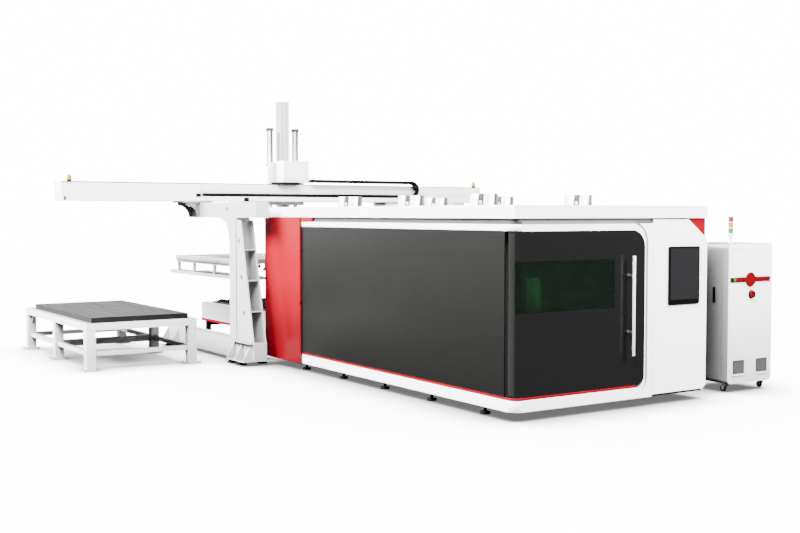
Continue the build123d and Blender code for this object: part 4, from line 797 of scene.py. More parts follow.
def handle_fittings():
    low, high = corners("door_handle")
    door = corners("front_door")[1].x
    bm = bmesh.new()
    for z in HANDLE_POSTS:
        place = (door, (low.y + high.y) / 2, z)
        turned(bm, ROSETTE, place, "X")
        turned(bm, ((SLEEVE_RADIUS, 0.0), (SLEEVE_RADIUS, high.x - door - GRIP_DEPTH)), place, "X")
    put("handle_rosettes", bm, CAP_GREY, "front_door", smooth=True)


# Seams across the cabinet's front, near its top and foot
SEAM_INSET, SEAM_MARGIN = 0.075, 0.06
SEAM_HALF, SEAM_RISE = 0.0015, 0.0006


def cabinet_seams():
    low, high = corners("cabinet_body")
    bm = bmesh.new()
    for z in (low.z + SEAM_INSET, high.z - SEAM_INSET):
        block(bm, (high.x - SEAM_RISE, low.y + SEAM_MARGIN, z - SEAM_HALF),
              (high.x + SEAM_RISE, high.y - SEAM_MARGIN, z + SEAM_HALF))
    put("cabinet_seams", bm, SEAM, "cell")


# Louvred vents in the cabinet's front
VENT_WIDTH, VENT_RIM = 0.2, 0.012
SLAT_COUNT = 17
SLAT_BACK, SLAT_LIP, SLAT_LEAN = 0.001, 0.003, 0.006
SLAT_SHARES = (0.8, 0.5)


def vent_grilles():
    low, high = corners("cabinet_vents")
    sill, head = low.z + VENT_RIM, high.z - VENT_RIM
    pitch = (head - sill) / SLAT_COUNT
    frames, slats = bmesh.new(), bmesh.new()
    for y0 in (low.y, high.y - VENT_WIDTH):
        y1 = y0 + VENT_WIDTH
        for start, stop in (((y0, low.z), (y1, sill)), ((y0, head), (y1, high.z)),
                            ((y0, sill), (y0 + VENT_RIM, head)), ((y1 - VENT_RIM, sill), (y1, head))):
            block(frames, (low.x, *start), (high.x, *stop))
        for place in range(SLAT_COUNT):
            z = sill + pitch * place
            outline = [(low.x + SLAT_BACK, z), (high.x - SLAT_LIP, z),
                       (high.x - SLAT_LEAN, z + pitch * SLAT_SHARES[0]),
                       (low.x + SLAT_BACK, z + pitch * SLAT_SHARES[1])]
            prism(slats, outline, "XZ", y0 + VENT_RIM, y1 - VENT_RIM)
    frame_piece = put("vent_frames", frames, PLASTIC_GREY, "cell", bevel=0.002)
    put("vent_slats", slats, PLASTIC_GREY, "cell")
    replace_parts(frame_piece, "cabinet_vents")


# Tower light: folding bracket and three ribbed lenses
TOWER_LENSES = (("green", LENS_GREEN), ("amber", AMBER), ("red", LENS_RED))
LENS_ENDS, LENS_GROOVE, LENS_RIB = 0.030, 0.0310, 0.0325
LENS_FOOT, LENS_TOP, RIB_FOOT, RIB_ROOM = 0.002, 0.004, 0.004, 0.010
RIB_COUNT = 8
TOWER_RING = ((0.033, -0.003), (0.033, 0.003))
TOWER_BASE = ((0.030, -0.042), (0.033, -0.034), (0.033, 0.0))
TOWER_CAP = ((0.020, -0.004), (0.014, 0.0))
HINGE_DROP = 0.066
HINGE_BARREL = ((0.020, -0.018), (0.020, 0.018))
NECK_RADIUS, NECK_DROP = 0.012, 0.040
STEM_TUBE, STEM_TUBE_FOOT = 0.011, 0.02
STEM_FLANGE = ((0.032, 0.0), (0.032, 0.016), (0.024, 0.024))


def tower_lenses():
    low, high = corners("tower_lenses")
    axis = ((low.x + high.x) / 2, (low.y + high.y) / 2, 0.0)
    step = (high.z - low.z) / len(TOWER_LENSES)
    rise = (step - RIB_ROOM) / RIB_COUNT
    for place, (name, material) in enumerate(TOWER_LENSES):
        profile = [(LENS_ENDS, LENS_FOOT)]
        for rib in range(RIB_COUNT):
            base = RIB_FOOT + rib * rise
            profile += [(LENS_RIB, base), (LENS_GROOVE, base + rise / 2)]
        profile.append((LENS_ENDS, step - LENS_TOP))
        bm = bmesh.new()
        turned(bm, raised(profile, low.z + step * place), axis, steps=32)
        piece = put("tower_lens_" + name, bm, material, "cell", smooth=True)
        if place == 0:
            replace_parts(piece, "tower_lenses")


def tower_bracket():
    low, high = corners("tower_lenses")
    foot = corners("tower_stem")[0].z
    x, y = (low.x + high.x) / 2, (low.y + high.y) / 2
    step = (high.z - low.z) / len(TOWER_LENSES)
    hinge = low.z - HINGE_DROP
    bm = bmesh.new()
    for place in range(len(TOWER_LENSES) + 1):
        turned(bm, raised(TOWER_RING, low.z + step * place), (x, y, 0.0), steps=32)
    turned(bm, raised(TOWER_BASE, low.z), (x, y, 0.0), steps=32)
    turned(bm, raised(TOWER_CAP, high.z), (x, y, 0.0))
    turned(bm, ((NECK_RADIUS, hinge), (NECK_RADIUS, low.z - NECK_DROP)), (x, y, 0.0), steps=16)
    turned(bm, HINGE_BARREL, (x, y, hinge), "Y")
    turned(bm, ((STEM_TUBE, foot + STEM_TUBE_FOOT), (STEM_TUBE, hinge)), (x, y, 0.0), steps=16)
    turned(bm, raised(STEM_FLANGE, foot), (x, y, 0.0))
    piece = put("tower_bracket", bm, PLASTIC_WHITE, "cell", smooth=True)
    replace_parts(piece, "tower_stem")


# Beacons on the beam ends: ribbed amber domes on dark sockets
BEACON_RADIUS = 0.04
DOME = ((0.036, 0.030), (0.037, 0.044), (0.034, 0.050), (0.037, 0.057), (0.034, 0.064), (0.036, 0.072),
        (0.033, 0.088), (0.024, 0.104))
DOME_TIP = 0.010
SOCKET = ((0.040, 0.0), (0.040, 0.022), (0.037, 0.030))


def beam_beacons():
    low, high = corners("beam_lamps")
    domes, sockets = bmesh.new(), bmesh.new()
    for y in (low.y + BEACON_RADIUS, high.y - BEACON_RADIUS):
        place = ((low.x + high.x) / 2, y, 0.0)
        turned(domes, [*raised(DOME, low.z), (DOME_TIP, high.z)], place, steps=28)
        turned(sockets, raised(SOCKET, low.z), place, steps=28)
    piece = put("beacon_domes", domes, BEACON, "cell", smooth=True)
    put("beacon_sockets", sockets, NYLON, "cell", smooth=True)
    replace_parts(piece, "beam_lamps")


# Screws along the arms of the two supports
NEAR_FACE, FAR_FACE = -1.77125, 2.06875
SUPPORT_FACES = ((NEAR_FACE, -1), (FAR_FACE, 1))
ARM_SCREW_X = (-3.05, -2.45, -1.85, -1.25)
ARM_SCREW_Z = (2.275, 2.425)
ARM_SCREW = ((0.013, 0.0), (0.013, 0.006))


def arm_screws():
    bm = bmesh.new()
    for face in (NEAR_FACE, FAR_FACE):
        for x in ARM_SCREW_X:
            for z in ARM_SCREW_Z:
                turned(bm, ARM_SCREW, (x, face, z), "Y", steps=12)
    put("arm_screws", bm, STEEL, "cell")


# Anchor bolts on the footplates of the loading table
LEG_X = (-4.8635, -3.2685, -1.6735)
LEG_Y = (-3.99375, -2.42375)
ANCHOR_OFFSETS = (-0.095, 0.095)
ANCHOR_RADIUS, ANCHOR_HEIGHT = 0.012, 0.02
FOOTPLATE_TOP = 0.016


def anchor_bolts():
    bm = bmesh.new()
    for x in LEG_X:
        for y in LEG_Y:
            for dx in ANCHOR_OFFSETS:
                for dy in ANCHOR_OFFSETS:
                    hex_bolt(bm, (x + dx, y + dy, FOOTPLATE_TOP), ANCHOR_RADIUS, ANCHOR_HEIGHT)
    put("anchor_bolts", bm, STEEL, "cell")


# Middle stretcher of the loading table: rectangular tube between welded end plates
STRETCHER_X = LEG_X[1]
STRETCHER_ENDS = (-3.92625, -2.49125)
STRETCHER_LOW, STRETCHER_HIGH = 0.195, 0.300
STRETCHER_HALF = 0.030
END_PLATE, PLATE_MARGIN = 0.008, 0.015


def table_stretcher():
    start, stop = STRETCHER_ENDS
    half = STRETCHER_HALF + PLATE_MARGIN
    bm = bmesh.new()
    block(bm, (STRETCHER_X - STRETCHER_HALF, start + END_PLATE, STRETCHER_LOW),
          (STRETCHER_X + STRETCHER_HALF, stop - END_PLATE, STRETCHER_HIGH))
    for y in (start, stop - END_PLATE):
        block(bm, (STRETCHER_X - half, y, STRETCHER_LOW - PLATE_MARGIN),
              (STRETCHER_X + half, y + END_PLATE, STRETCHER_HIGH + PLATE_MARGIN))
    put("table_stretcher", bm, TABLE_WHITE, "cell", bevel=0.003)


# Lock nuts on the screw feet of the cabin
FIRST_FOOT_X, FOOT_PITCH, FOOT_COUNT = 4.2115, 1.07675, 5
FOOT_Y = (-1.26125, 1.55875)
FOOT_NUT = ((0.030, 0.0), (0.030, 0.018))
FOOT_NUT_Z = 0.080


def foot_nuts():
    bm = bmesh.new()
    for place in range(FOOT_COUNT):
        for y in FOOT_Y:
            turned(bm, FOOT_NUT, (FIRST_FOOT_X - place * FOOT_PITCH, y, FOOT_NUT_Z), steps=6)
    put("foot_nuts", bm, STEEL, "cell")


# Cooling fins of the pallet drive motor
FIN_COUNT = 20
FIN_ROOT, FIN_TIP, FIN_HALF = 0.058, 0.068, 0.0022
FIN_FOOT, FIN_HEADROOM = 0.66, 0.05
MOTOR_INSET = 0.079


def drive_fins():
    low, high = corners("pallet_drive")
    axis = Matrix.Translation(((low.x + high.x) / 2, low.y + MOTOR_INSET, 0.0))
    bm = bmesh.new()
    for step in range(FIN_COUNT):
        verts = block(bm, (FIN_ROOT, -FIN_HALF, FIN_FOOT), (FIN_TIP, FIN_HALF, high.z - FIN_HEADROOM))
        turn = axis @ Matrix.Rotation(2 * math.pi * step / FIN_COUNT, 4, "Z")
        bmesh.ops.transform(bm, matrix=turn, verts=verts)
    put("drive_fins", bm, TEAL, "cell")


# Dark opening of the cover, chain clamp and end slot on the beam: ends, heights and rise
BEAM_FRONT = -2.8335
BEAM_SLOTS = ((-1.842, -1.755, 2.566, 2.624, 0.0015), (-0.980, -0.890, 2.492, 2.562, 0.008),
              (-3.9985, -3.9688, 2.501, 2.562, 0.0015))


def beam_slots():
    bm = bmesh.new()
    for y0, y1, z0, z1, rise in BEAM_SLOTS:
        block(bm, (BEAM_FRONT, y0, z0), (BEAM_FRONT + rise, y1, z1))
    put("beam_slots", bm, NYLON, "cell", bevel=0.0006)


# Painted shade: a thin dark strip along the top of the beam stands for its lip in shadow
LIP_LOW, LIP_HIGH, LIP_THICK = 2.7800, 2.7945, 0.0015
LIP_START, LIP_STOP = 0.002, 0.10


def beam_shade_line():
    low, high = corners("loader_beam")
    bm = bmesh.new()
    block(bm, (BEAM_FRONT, low.y + LIP_START, LIP_LOW), (BEAM_FRONT + LIP_THICK, high.y - LIP_STOP, LIP_HIGH))
    put("beam_shade_line", bm, JOINT_AND_SHADOW_GREY, "cell")


# Clamp plate that holds the chain's end to the carriage
CLAMP_THICK = 0.003
CLAMP_SETBACK = 0.001
CLAMP_MARGIN, CLAMP_LAP = 0.002, 0.01
CLIP_LENGTH = 0.06
CLAMP_SCREW = ((0.012, 0.0), (0.012, 0.004), (0.009, 0.006))
CLAMP_SCREW_SHARES = (0.25, 0.75)


def chain_clamp():
    low, high = corners("chain_upper_run")
    start = low.y - CLIP_LENGTH
    z0, z1 = low.z + CLAMP_MARGIN, high.z - CLAMP_MARGIN
    front = high.x + CLAMP_THICK
    bm = bmesh.new()
    block(bm, (high.x, start + CLAMP_SETBACK, z0), (front, low.y + CLAMP_LAP, z1))
    block(bm, (low.x + CLAMP_SETBACK, start - CLAMP_THICK, z0), (front, start, z1))
    for share in CLAMP_SCREW_SHARES:
        place = (front, start + CLIP_LENGTH * share, (low.z + high.z) / 2)
        turned(bm, CLAMP_SCREW, place, "X", steps=6)
    put("chain_clamp", bm, NYLON, "loader_carriage", bevel=0.0006)


# Black pads along the top of the two fork bars, between their posts
FORK_BAR = 0.060
FORK_START = 3.520
FORK_POSTS = (-3.190, -2.500, -1.640, -0.840)
FORK_END = 0.05
PAD_THICK, PAD_INSET = 0.012, 0.006
POST_ROOM = 0.035
PAD_SCREW_PITCH = 0.18
PAD_SCREW = ((0.011, 0.0), (0.011, 0.003), (0.007, 0.005))


def fork_pads():
    for body in ("fork_near", "fork_far"):
        low, high = corners(body)
        y0 = high.y - FORK_BAR if high.y > 0 else low.y
        foot = low.z + FORK_BAR
        top = foot + PAD_THICK
        edges = [low.x + FORK_START + x for x in FORK_POSTS] + [high.x - FORK_END + POST_ROOM]
        bm = bmesh.new()
        for first, second in zip(edges, edges[1:]):
            start, stop = first + POST_ROOM, second - POST_ROOM
            block(bm, (start, y0 + PAD_INSET, foot), (stop, y0 + FORK_BAR - PAD_INSET, top))
            count = max(2, round((second - first) / PAD_SCREW_PITCH))
            for place in range(count):
                x = start + (stop - start) * (place + 0.5) / count
                turned(bm, PAD_SCREW, (x, y0 + FORK_BAR / 2, top), steps=10)
        put(body + "_pads", bm, NYLON, body, bevel=0.002)


# Sliding shoe between the beam and the carriage housing
SHOE_BACK, SHOE_LOW, SHOE_HIGH = -3.19, 2.7975, 2.8330
SHOE_SETBACK, SHOE_START, SHOE_STOP = 0.002, 0.004, 0.40
SHOE_SCREW = ((0.010, 0.0), (0.010, 0.0015))
SHOE_SCREWS, SHOE_SCREW_START, SHOE_SCREW_PITCH, SHOE_SCREW_Z = 3, 0.06, 0.13, 2.815


def carriage_shoe():
    low, high = corners("loader_carriage")
    front = high.x - SHOE_SETBACK
    bm = bmesh.new()
    block(bm, (SHOE_BACK, low.y + SHOE_START, SHOE_LOW), (front, low.y + SHOE_STOP, SHOE_HIGH))
    for place in range(SHOE_SCREWS):
        y = low.y + SHOE_SCREW_START + SHOE_SCREW_PITCH * place
        turned(bm, SHOE_SCREW, (front, y, SHOE_SCREW_Z), "X", steps=12)
    put("carriage_shoe", bm, NYLON, "loader_carriage", bevel=0.001)


# Welded seam, plugged slots and arm slots of the two supports
WELD_X = (-1.446, -1.414)
WELD_Z = (0.352, 2.228)
WELD_RISE = 0.0012
SLOT_PLACES = ((-1.329, 1.873), (-1.248, 1.324), (-1.167, 0.778), (-2.941, 2.366), (-1.764, 2.366))
SLOT_RADIUS, SLOT_HALF = 0.019, 0.016
PLUG_RISE, PLUG_SKIN = 0.003, 0.002


def support_marks():
    seams, slots = bmesh.new(), bmesh.new()
    for face, way in SUPPORT_FACES:
        y0, y1 = sorted((face, face + way * WELD_RISE))
        plug = ((SLOT_RADIUS, 0.0), (SLOT_RADIUS, way * PLUG_RISE))
        block(seams, (WELD_X[0], y0, WELD_Z[0]), (WELD_X[1], y1, WELD_Z[1]))
        for x, z in SLOT_PLACES:
            for dz in (-SLOT_HALF, SLOT_HALF):
                turned(slots, plug, (x, face, z + dz), "Y", steps=16)
            block(slots, (x - SLOT_RADIUS, y0 - PLUG_SKIN, z - SLOT_HALF),
                  (x + SLOT_RADIUS, y1 + PLUG_SKIN, z + SLOT_HALF))
    put("support_seams", seams, COLUMN_SEAM, "cell")
    put("support_slots", slots, NYLON, "cell")


# Red plate in the cut corner of the front panel
PLATE_WIDTH, PLATE_HEIGHT = 0.345, 0.240
PLATE_SIDE, PLATE_TOP = 0.012, 0.001
PLATE_BACK, PLATE_FRONT = 0.0003, 0.0040


def corner_plate():
    panel = corners("front_panel")[1]
    face = corners("upper_band")[1].x
    side, top = panel.y - PLATE_SIDE, panel.z - PLATE_TOP
    bm = bmesh.new()
    prism(bm, [(panel.y - PLATE_WIDTH, top), (side, top), (side, panel.z - PLATE_HEIGHT)], "YZ",
          face + PLATE_BACK, face + PLATE_FRONT)
    put("corner_plate", bm, RED, "cell", bevel=0.0008)


# Painted shadow: a dark strip along the front panel's top stands for the shadow under the roof edge
SHADOW_STRIP_SINK, SHADOW_STRIP_RISE = 0.001, 0.0008
SHADOW_STRIP_LOW, SHADOW_STRIP_HIGH, SHADOW_STRIP_END = 0.016, 0.001, 0.352


def roof_shadow_strip():
    low, high = corners("front_panel")
    bm = bmesh.new()
    block(bm, (high.x - SHADOW_STRIP_SINK, low.y, high.z - SHADOW_STRIP_LOW),
          (high.x + SHADOW_STRIP_RISE, high.y - SHADOW_STRIP_END, high.z - SHADOW_STRIP_HIGH))
    put("roof_shadow_strip", bm, JOINT_AND_SHADOW_GREY, "cell")


# Painted highlight: a lighter roll along the door's rounded corner stands for the reflection there
CORNER_STEPS = 8
CORNER_START, CORNER_SWEEP = 4.0, 40.0
CORNER_BACK, CORNER_SKIN = 0.1085, 0.1108
CORNER_LOW, CORNER_HIGH = 0.290, 2.082


def door_corner_highlight():
    low, high = corners("front_door")
    x, y = high.x - DOOR_ROUND, low.y + DOOR_ROUND
    outline = ((CORNER_BACK, CORNER_LOW), (CORNER_SKIN, CORNER_LOW), (CORNER_SKIN, CORNER_HIGH),
               (CORNER_BACK, CORNER_HIGH))
    rows = []
    for step in range(CORNER_STEPS + 1):
        angle = math.radians(CORNER_START + CORNER_SWEEP * step / CORNER_STEPS)
        across, along = math.sin(angle), math.cos(angle)
        rows.append([(x + radius * across, y - radius * along, z) for radius, z in outline])
    bm = bmesh.new()
    bar(bm, rows)
    put("door_corner_highlight", bm, CORNER_HIGHLIGHT_GLOSS, "front_door", smooth=True)


# Conduit beside the cutting head, held by three clips
CONDUIT = ((0.013, 1.11), (0.013, 1.45))
CONDUIT_OUT, CONDUIT_INSET = 0.016, 0.018
CLIP_Z, CLIP_HALF = (1.13, 1.28, 1.43), 0.012
CLIP_OUT, CLIP_START, CLIP_STOP = 0.018, 0.036, 0.001


def head_conduit():
    side = corners("head_carriage")[1]
    bm = bmesh.new()
    turned(bm, CONDUIT, (side.x + CONDUIT_OUT, side.y - CONDUIT_INSET, 0.0), steps=20)
    for z in CLIP_Z:
        block(bm, (side.x, side.y - CLIP_START, z - CLIP_HALF),
              (side.x + CLIP_OUT, side.y - CLIP_STOP, z + CLIP_HALF))
    put("head_conduit", bm, SATIN, "head_carriage", smooth=True)


# Signal lamp and sockets on the cabinet's red bar
BAR_FACE, BAR_Z = 4.7565, 1.446
BAR_LAMP_Y = 2.3188
BAR_LAMP = ((0.022, 0.0), (0.022, 0.003), (0.018, 0.005))
BAR_SOCKET_Y = (2.4798, 2.7508, 2.9278)
BAR_SOCKET = ((0.014, 0.0), (0.014, 0.002), (0.011, 0.004))
BAR_INLAY_Y = ((2.247, 2.292), (2.345, 2.356))
INLAY_HALF, INLAY_SINK, INLAY_RISE = 0.018, 0.0005, 0.0007


def bar_marks():
    bm = bmesh.new()
    turned(bm, BAR_LAMP, (BAR_FACE, BAR_LAMP_Y, BAR_Z), "X")
    put("bar_lamp", bm, LENS_GREEN, "cell", smooth=True)
    bm = bmesh.new()
    for y in BAR_SOCKET_Y:
        turned(bm, BAR_SOCKET, (BAR_FACE, y, BAR_Z), "X", steps=20)
    for y0, y1 in BAR_INLAY_Y:
        block(bm, (BAR_FACE - INLAY_SINK, y0, BAR_Z - INLAY_HALF),
              (BAR_FACE + INLAY_RISE, y1, BAR_Z + INLAY_HALF))
    put("bar_sockets", bm, BLACK, "cell", smooth=True)


# Collar round the isolator knob
CABINET_FACE = 4.7465
ISOLATOR_COLLAR = ((0.048, 0.0), (0.056, 0.0), (0.056, 0.005), (0.053, 0.007), (0.048, 0.007))


def isolator_collar():
    low, high = corners("isolator_knob")
    place = (CABINET_FACE, (low.y + high.y) / 2, (low.z + high.z) / 2)
    bm = bmesh.new()
    turned(bm, ISOLATOR_COLLAR, place, "X", steps=40, closed=True)
    put("isolator_collar", bm, BLACK, "cell", smooth=True)


# Drip lips under the vents
VENT_LIP_DROP, VENT_LIP_EDGE, VENT_LIP_BACK = 0.010, 0.008, 0.020
VENT_LIP_OUT, VENT_LIP_SIDE = 0.002, 0.003


def vent_lips():
    low, high = corners("cabinet_vents")
    outline = [(low.x, low.z - VENT_LIP_DROP), (high.x - VENT_LIP_OUT, low.z - VENT_LIP_DROP),
               (high.x + VENT_LIP_OUT, low.z + VENT_LIP_EDGE), (low.x, low.z + VENT_LIP_BACK)]
    bm = bmesh.new()
    for y in (low.y, high.y - VENT_WIDTH):
        prism(bm, outline, "XZ", y - VENT_LIP_SIDE, y + VENT_WIDTH + VENT_LIP_SIDE)
    put("vent_lips", bm, PLASTIC_WHITE, "cell", bevel=0.001)


# Clamp lugs on the six exhaust collars
COLLAR_X = (3.2915, 1.659, 0.0265)
COLLAR_Y = (-0.59125, 0.96875)
LUG_TURNS = (-50.0, 130.0)
LUG_ROOT, LUG_TIP, LUG_HALF = 0.174, 0.188, 0.016
LUG_LOW, LUG_HIGH = 2.412, 2.452
LUG_BOLT = ((0.007, -0.003), (0.007, 0.006))


def collar_lugs():
    bm = bmesh.new()
    for x in COLLAR_X:
        for y in COLLAR_Y:
            for turn in LUG_TURNS:
                verts = block(bm, (LUG_ROOT, -LUG_HALF, LUG_LOW), (LUG_TIP, LUG_HALF, LUG_HIGH))
                spin = Matrix.Translation((x, y, 0.0)) @ Matrix.Rotation(math.radians(turn), 4, "Z")
                bmesh.ops.transform(bm, matrix=spin, verts=verts)
                bolt = spin @ Vector((LUG_TIP, 0.0, (LUG_LOW + LUG_HIGH) / 2))
                turned(bm, LUG_BOLT, bolt, steps=6)
    put("collar_lugs", bm, SATIN, "cell", bevel=0.001)


# Rows of slots along the gripper's rails and holes along its forks
SLOT_ROWS = 22
SLOT_MARGIN = 0.05
SLOT_SHARE = 0.28
SLOT_SKIN, SLOT_EDGE = 0.001, 0.045
FORK_HOLE_RADIUS, FORK_HOLE_Z = 0.008, 0.022


def row_pitch(low, high):
    return (high.x - low.x - 2 * SLOT_MARGIN) / SLOT_ROWS


def gripper_slots():
    low, high = corners("suction_frame")
    pitch = row_pitch(low, high)
    bm = bmesh.new()
    for place in range(SLOT_ROWS):
        x = low.x + SLOT_MARGIN + pitch * (place + 0.5)
        for y in (low.y - SLOT_SKIN, high.y):
            block(bm, (x - pitch * SLOT_SHARE, y, low.z + SLOT_EDGE),
                  (x + pitch * SLOT_SHARE, y + SLOT_SKIN, high.z - SLOT_EDGE))
    put("gripper_slots", bm, COLUMN_SEAM, "lift")


def fork_holes():
    hole = ((FORK_HOLE_RADIUS, 0.0), (FORK_HOLE_RADIUS, SLOT_SKIN))
    for body in ("fork_near", "fork_far"):
        low, high = corners(body)
        face = high.y if high.y > 0 else low.y - SLOT_SKIN
        pitch = row_pitch(low, high)
        bm = bmesh.new()
        for place in range(SLOT_ROWS):
            x = low.x + SLOT_MARGIN + pitch * (place + 0.5)
            turned(bm, hole, (x, face, low.z + FORK_HOLE_Z), "Y", steps=12)
        put(body + "_holes", bm, DARK_STEEL, body)


# Cap plates over the ribs of the two supports
CAP_X = (-1.502, -0.846)
CAP_Z = (0.324, 0.340)
CAP_REACH = 0.062


def rib_caps():
    bm = bmesh.new()
    for face, way in SUPPORT_FACES:
        y0, y1 = sorted((face, face + way * CAP_REACH))
        block(bm, (CAP_X[0], y0, CAP_Z[0]), (CAP_X[1], y1, CAP_Z[1]))
    put("rib_caps", bm, LOADER_SHADED_WHITE, "cell", bevel=0.002)


# Joints and screws of the far side and the roof
JOINT_X = (0.95, 1.95, 2.95, 3.95)
JOINT_HALF, JOINT_SINK, JOINT_RISE = 0.004, 0.0005, 0.0008
SIDE_MARGIN, ROOF_MARGIN = 0.01, 0.03
SCREW_OFFSETS = (-0.05, 0.05)
SIDE_SCREW_INSET, ROOF_SCREW_INSET = 0.06, 0.08
PANEL_SCREW = ((0.011, 0.0), (0.011, 0.003), (0.008, 0.005))


def panel_joints():
    low, high = corners("far_panel")
    roof_low, roof_high = corners("roof")
    side_z = (low.z + SIDE_SCREW_INSET, (low.z + high.z) / 2, high.z - SIDE_SCREW_INSET)
    roof_y = (roof_low.y + ROOF_SCREW_INSET, (roof_low.y + roof_high.y) / 2, roof_high.y - ROOF_SCREW_INSET)
    joints, screws = bmesh.new(), bmesh.new()
    for x in JOINT_X:
        block(joints, (x - JOINT_HALF, high.y - JOINT_SINK, low.z + SIDE_MARGIN),
              (x + JOINT_HALF, high.y + JOINT_RISE, high.z - SIDE_MARGIN))
        block(joints, (x - JOINT_HALF, roof_low.y + ROOF_MARGIN, roof_high.z - JOINT_SINK),
              (x + JOINT_HALF, roof_high.y - ROOF_MARGIN, roof_high.z + JOINT_RISE))
        for offset in SCREW_OFFSETS:
            for z in side_z:
                turned(screws, PANEL_SCREW, (x + offset, high.y, z), "Y", steps=12)
            for y in roof_y:
                turned(screws, PANEL_SCREW, (x + offset, y, roof_high.z), "Z", steps=12)
    put("panel_joints", joints, JOINT_AND_SHADOW_GREY, "cell")
    put("panel_screws", screws, STEEL, "cell")


# Pale floor with a painted contact shadow: its shade deepens softly towards whatever stands on it
FLOOR_SIZE = 60.0
FLOOR_GLOW = 0.18
CONTACT_REACH, CONTACT_DEPTH, CONTACT_SAMPLES = 0.6, 2.4, 12


def paint_contact_shadow(tree, shader):
    tint = shader.inputs["Base Color"].links[0].from_socket
    depth = tree.nodes.new("ShaderNodeMath")
    depth.operation = "POWER"
    depth.inputs[1].default_value = CONTACT_DEPTH
    tree.links.new(occlusion(tree, CONTACT_REACH, CONTACT_SAMPLES).outputs["AO"], depth.inputs[0])
    node = mix_node(tree)
    node.inputs["A"].default_value = (*NO_LIGHT, 1.0)
    tree.links.new(depth.outputs["Value"], node.inputs["Factor"])
    tree.links.new(tint, node.inputs["B"])
    tree.links.new(node.outputs["Result"], shader.inputs["Base Color"])


def studio_floor():
    ground = paint("studio_floor", (0.86, 0.86, 0.86), 0.7, clouding=0.01, peel=0.0)
    shader = ground.node_tree.nodes["Principled BSDF"]
    set_inputs(shader, {"Emission Color": FULL_LIGHT, "Emission Strength": FLOOR_GLOW})
    paint_contact_shadow(ground.node_tree, shader)
    bm = bmesh.new()
    bmesh.ops.create_grid(bm, x_segments=1, y_segments=1, size=FLOOR_SIZE)
    floor = new_object("studio_floor", bm, ground)
    floor.visible_diffuse = False
    floor.visible_glossy = False
    return floor


# White backdrop for the camera, a faint glow from above for the object
BACKDROP_GLOW = 16.0
LOW_GLOW, HIGH_GLOW = 0.03, 0.12
GLOW_RANGE = (-0.25, 0.15)


def backdrop():
    world = bpy.data.worlds.new("studio")
    world.use_nodes = True
    tree = world.node_tree
    coords = tree.nodes.new("ShaderNodeTexCoord")
    parts = tree.nodes.new("ShaderNodeSeparateXYZ")
    tree.links.new(coords.outputs["Generated"], parts.inputs["Vector"])
    glow = spread(tree, parts.outputs["Z"], LOW_GLOW, HIGH_GLOW, *GLOW_RANGE)
    rays = tree.nodes.new("ShaderNodeLightPath")
    seen = tree.nodes.new("ShaderNodeMapRange")
    tree.links.new(rays.outputs["Is Camera Ray"], seen.inputs["Value"])
    tree.links.new(glow, seen.inputs["To Min"])
    seen.inputs["To Max"].default_value = BACKDROP_GLOW
    tree.links.new(seen.outputs["Result"], tree.nodes["Background"].inputs["Strength"])
    tree.nodes["Background"].inputs["Color"].default_value = FULL_LIGHT
    SCENE.world = world


# Soft boxes round the cell: place, target, size and power
SOFT_BOXES = {
    "key": ((10.0, -10.0, 15.0), (2.0, -0.5, 1.0), (8.0, 6.0), 20500.0),
    "side": ((-5.0, -15.0, 15.0), (-1.0, -1.5, 1.0), (14.0, 8.0), 50000.0),
    "front": ((13.0, 4.5, 7.5), (4.8, 1.0, 1.4), (5.0, 4.0), 7600.0),
    "top": ((-4.0, -1.0, 12.0), (-4.0, -1.0, 0.0), (8.0, 10.0), 1500.0),
    "far_side": ((0.0, 18.0, 8.0), (0.0, 1.0, 1.0), (16.0, 8.0), 3200.0),
    "rear": ((-18.0, 2.0, 8.0), (-2.0, 0.0, 1.0), (12.0, 8.0), 2600.0),
    "glow": ((-24.0, -13.0, 3.2), (0.0, -1.4, 1.6), (10.0, 4.4), 420.0),
}
SUPPORT_FILL = ((3.0, -2.3, 1.2), (-1.3, -1.6, 1.2), (1.0, 1.6), 130.0)
# Lamp inside the cabin: place, target, cone and power
CABIN_LAMP = ((4.55, -0.55, 2.0), (4.0, -0.37, 1.22), 30.0, 140.0)
LAMP_BLEND, LAMP_RADIUS = 0.4, 0.03
GROUND_LIGHT, GROUND_SPREAD = 58.0, 116.0


def aimed(name, data, place, way):
    obj = bpy.data.objects.new(name, data)
    obj.location = place
    obj.rotation_mode = "QUATERNION"
    obj.rotation_quaternion = way.to_track_quat("-Z", "Y")
    SCENE.collection.objects.link(obj)
    return obj


def area_light(name, place, target, size, power):
    data = bpy.data.lights.new(name, "AREA")
    data.shape = "RECTANGLE"
    data.size, data.size_y = size
    data.energy = power
    return aimed(name, data, place, Vector(target) - Vector(place))


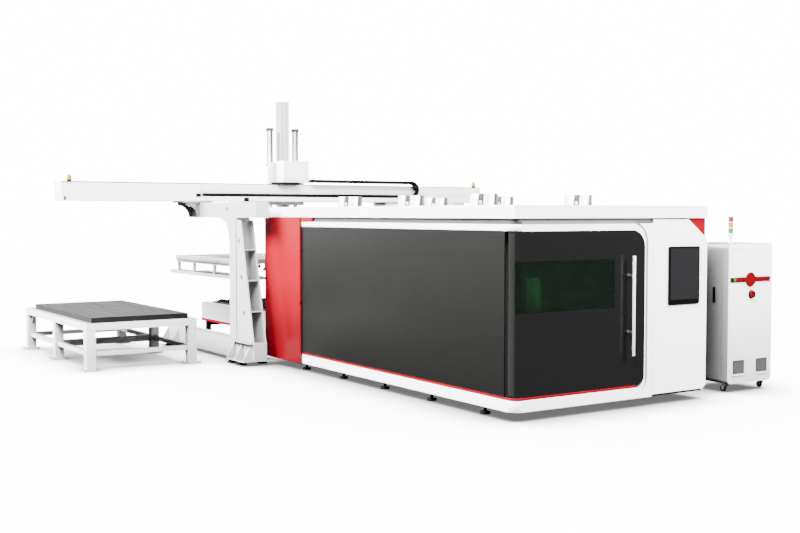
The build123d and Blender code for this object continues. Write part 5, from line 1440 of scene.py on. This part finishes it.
def spot_light(name, place, target, cone, power):
    data = bpy.data.lights.new(name, "SPOT")
    data.spot_size = math.radians(cone)
    data.spot_blend = LAMP_BLEND
    data.shadow_soft_size = LAMP_RADIUS
    data.energy = power
    return aimed(name, data, place, Vector(target) - Vector(place))


# The floor has a light of its own, and so have the hollows of the supports
def lights(floor):
    boxes = [area_light(name, *values) for name, values in SOFT_BOXES.items()]
    boxes.append(spot_light("inside", *CABIN_LAMP))
    object_only = bpy.data.collections.new("object_only")
    object_only.objects.link(floor)
    object_only.collection_objects[0].light_linking.link_state = "EXCLUDE"
    for light in boxes:
        light.light_linking.receiver_collection = object_only
    fill = area_light("support_fill", *SUPPORT_FILL)
    fill.visible_camera = False
    supports = bpy.data.collections.new("supports_only")
    for node in ("near_support", "far_support"):
        supports.objects.link(NODES[node])
    fill.light_linking.receiver_collection = supports
    data = bpy.data.lights.new("ground", "SUN")
    data.energy = GROUND_LIGHT
    data.angle = math.radians(GROUND_SPREAD)
    ground = bpy.data.objects.new("ground", data)
    SCENE.collection.objects.link(ground)
    floor_only = bpy.data.collections.new("floor_only")
    floor_only.objects.link(floor)
    ground.light_linking.receiver_collection = floor_only


def camera():
    data = bpy.data.cameras.new("camera")
    data.lens = CAMERA_LENS
    data.sensor_width = CAMERA_SENSOR
    data.clip_end = CAMERA_FAR
    a, e = math.radians(CAMERA_AZIMUTH), math.radians(CAMERA_ELEVATION)
    back = Vector((math.sin(a) * math.cos(e), -math.cos(a) * math.cos(e), math.sin(e)))
    SCENE.camera = aimed("camera", data, CAMERA_PLACE, -back)


for make in (lower_run, chain_bend, upper_run, sheet_layers, suction_bellows, cylinder_fittings,
             exchange_stripes, portal_edge, door_reveal, screen_glass, handle_fittings, cabinet_seams,
             vent_grilles, tower_lenses, tower_bracket, beam_beacons, arm_screws, anchor_bolts,
             table_stretcher, foot_nuts, drive_fins, beam_slots, beam_shade_line, chain_clamp, fork_pads,
             carriage_shoe, support_marks, corner_plate, roof_shadow_strip, door_corner_highlight, head_conduit, bar_marks,
             isolator_collar, vent_lips, collar_lugs, gripper_slots, fork_holes, rib_caps, panel_joints):
    make()
backdrop()
lights(studio_floor())
camera()
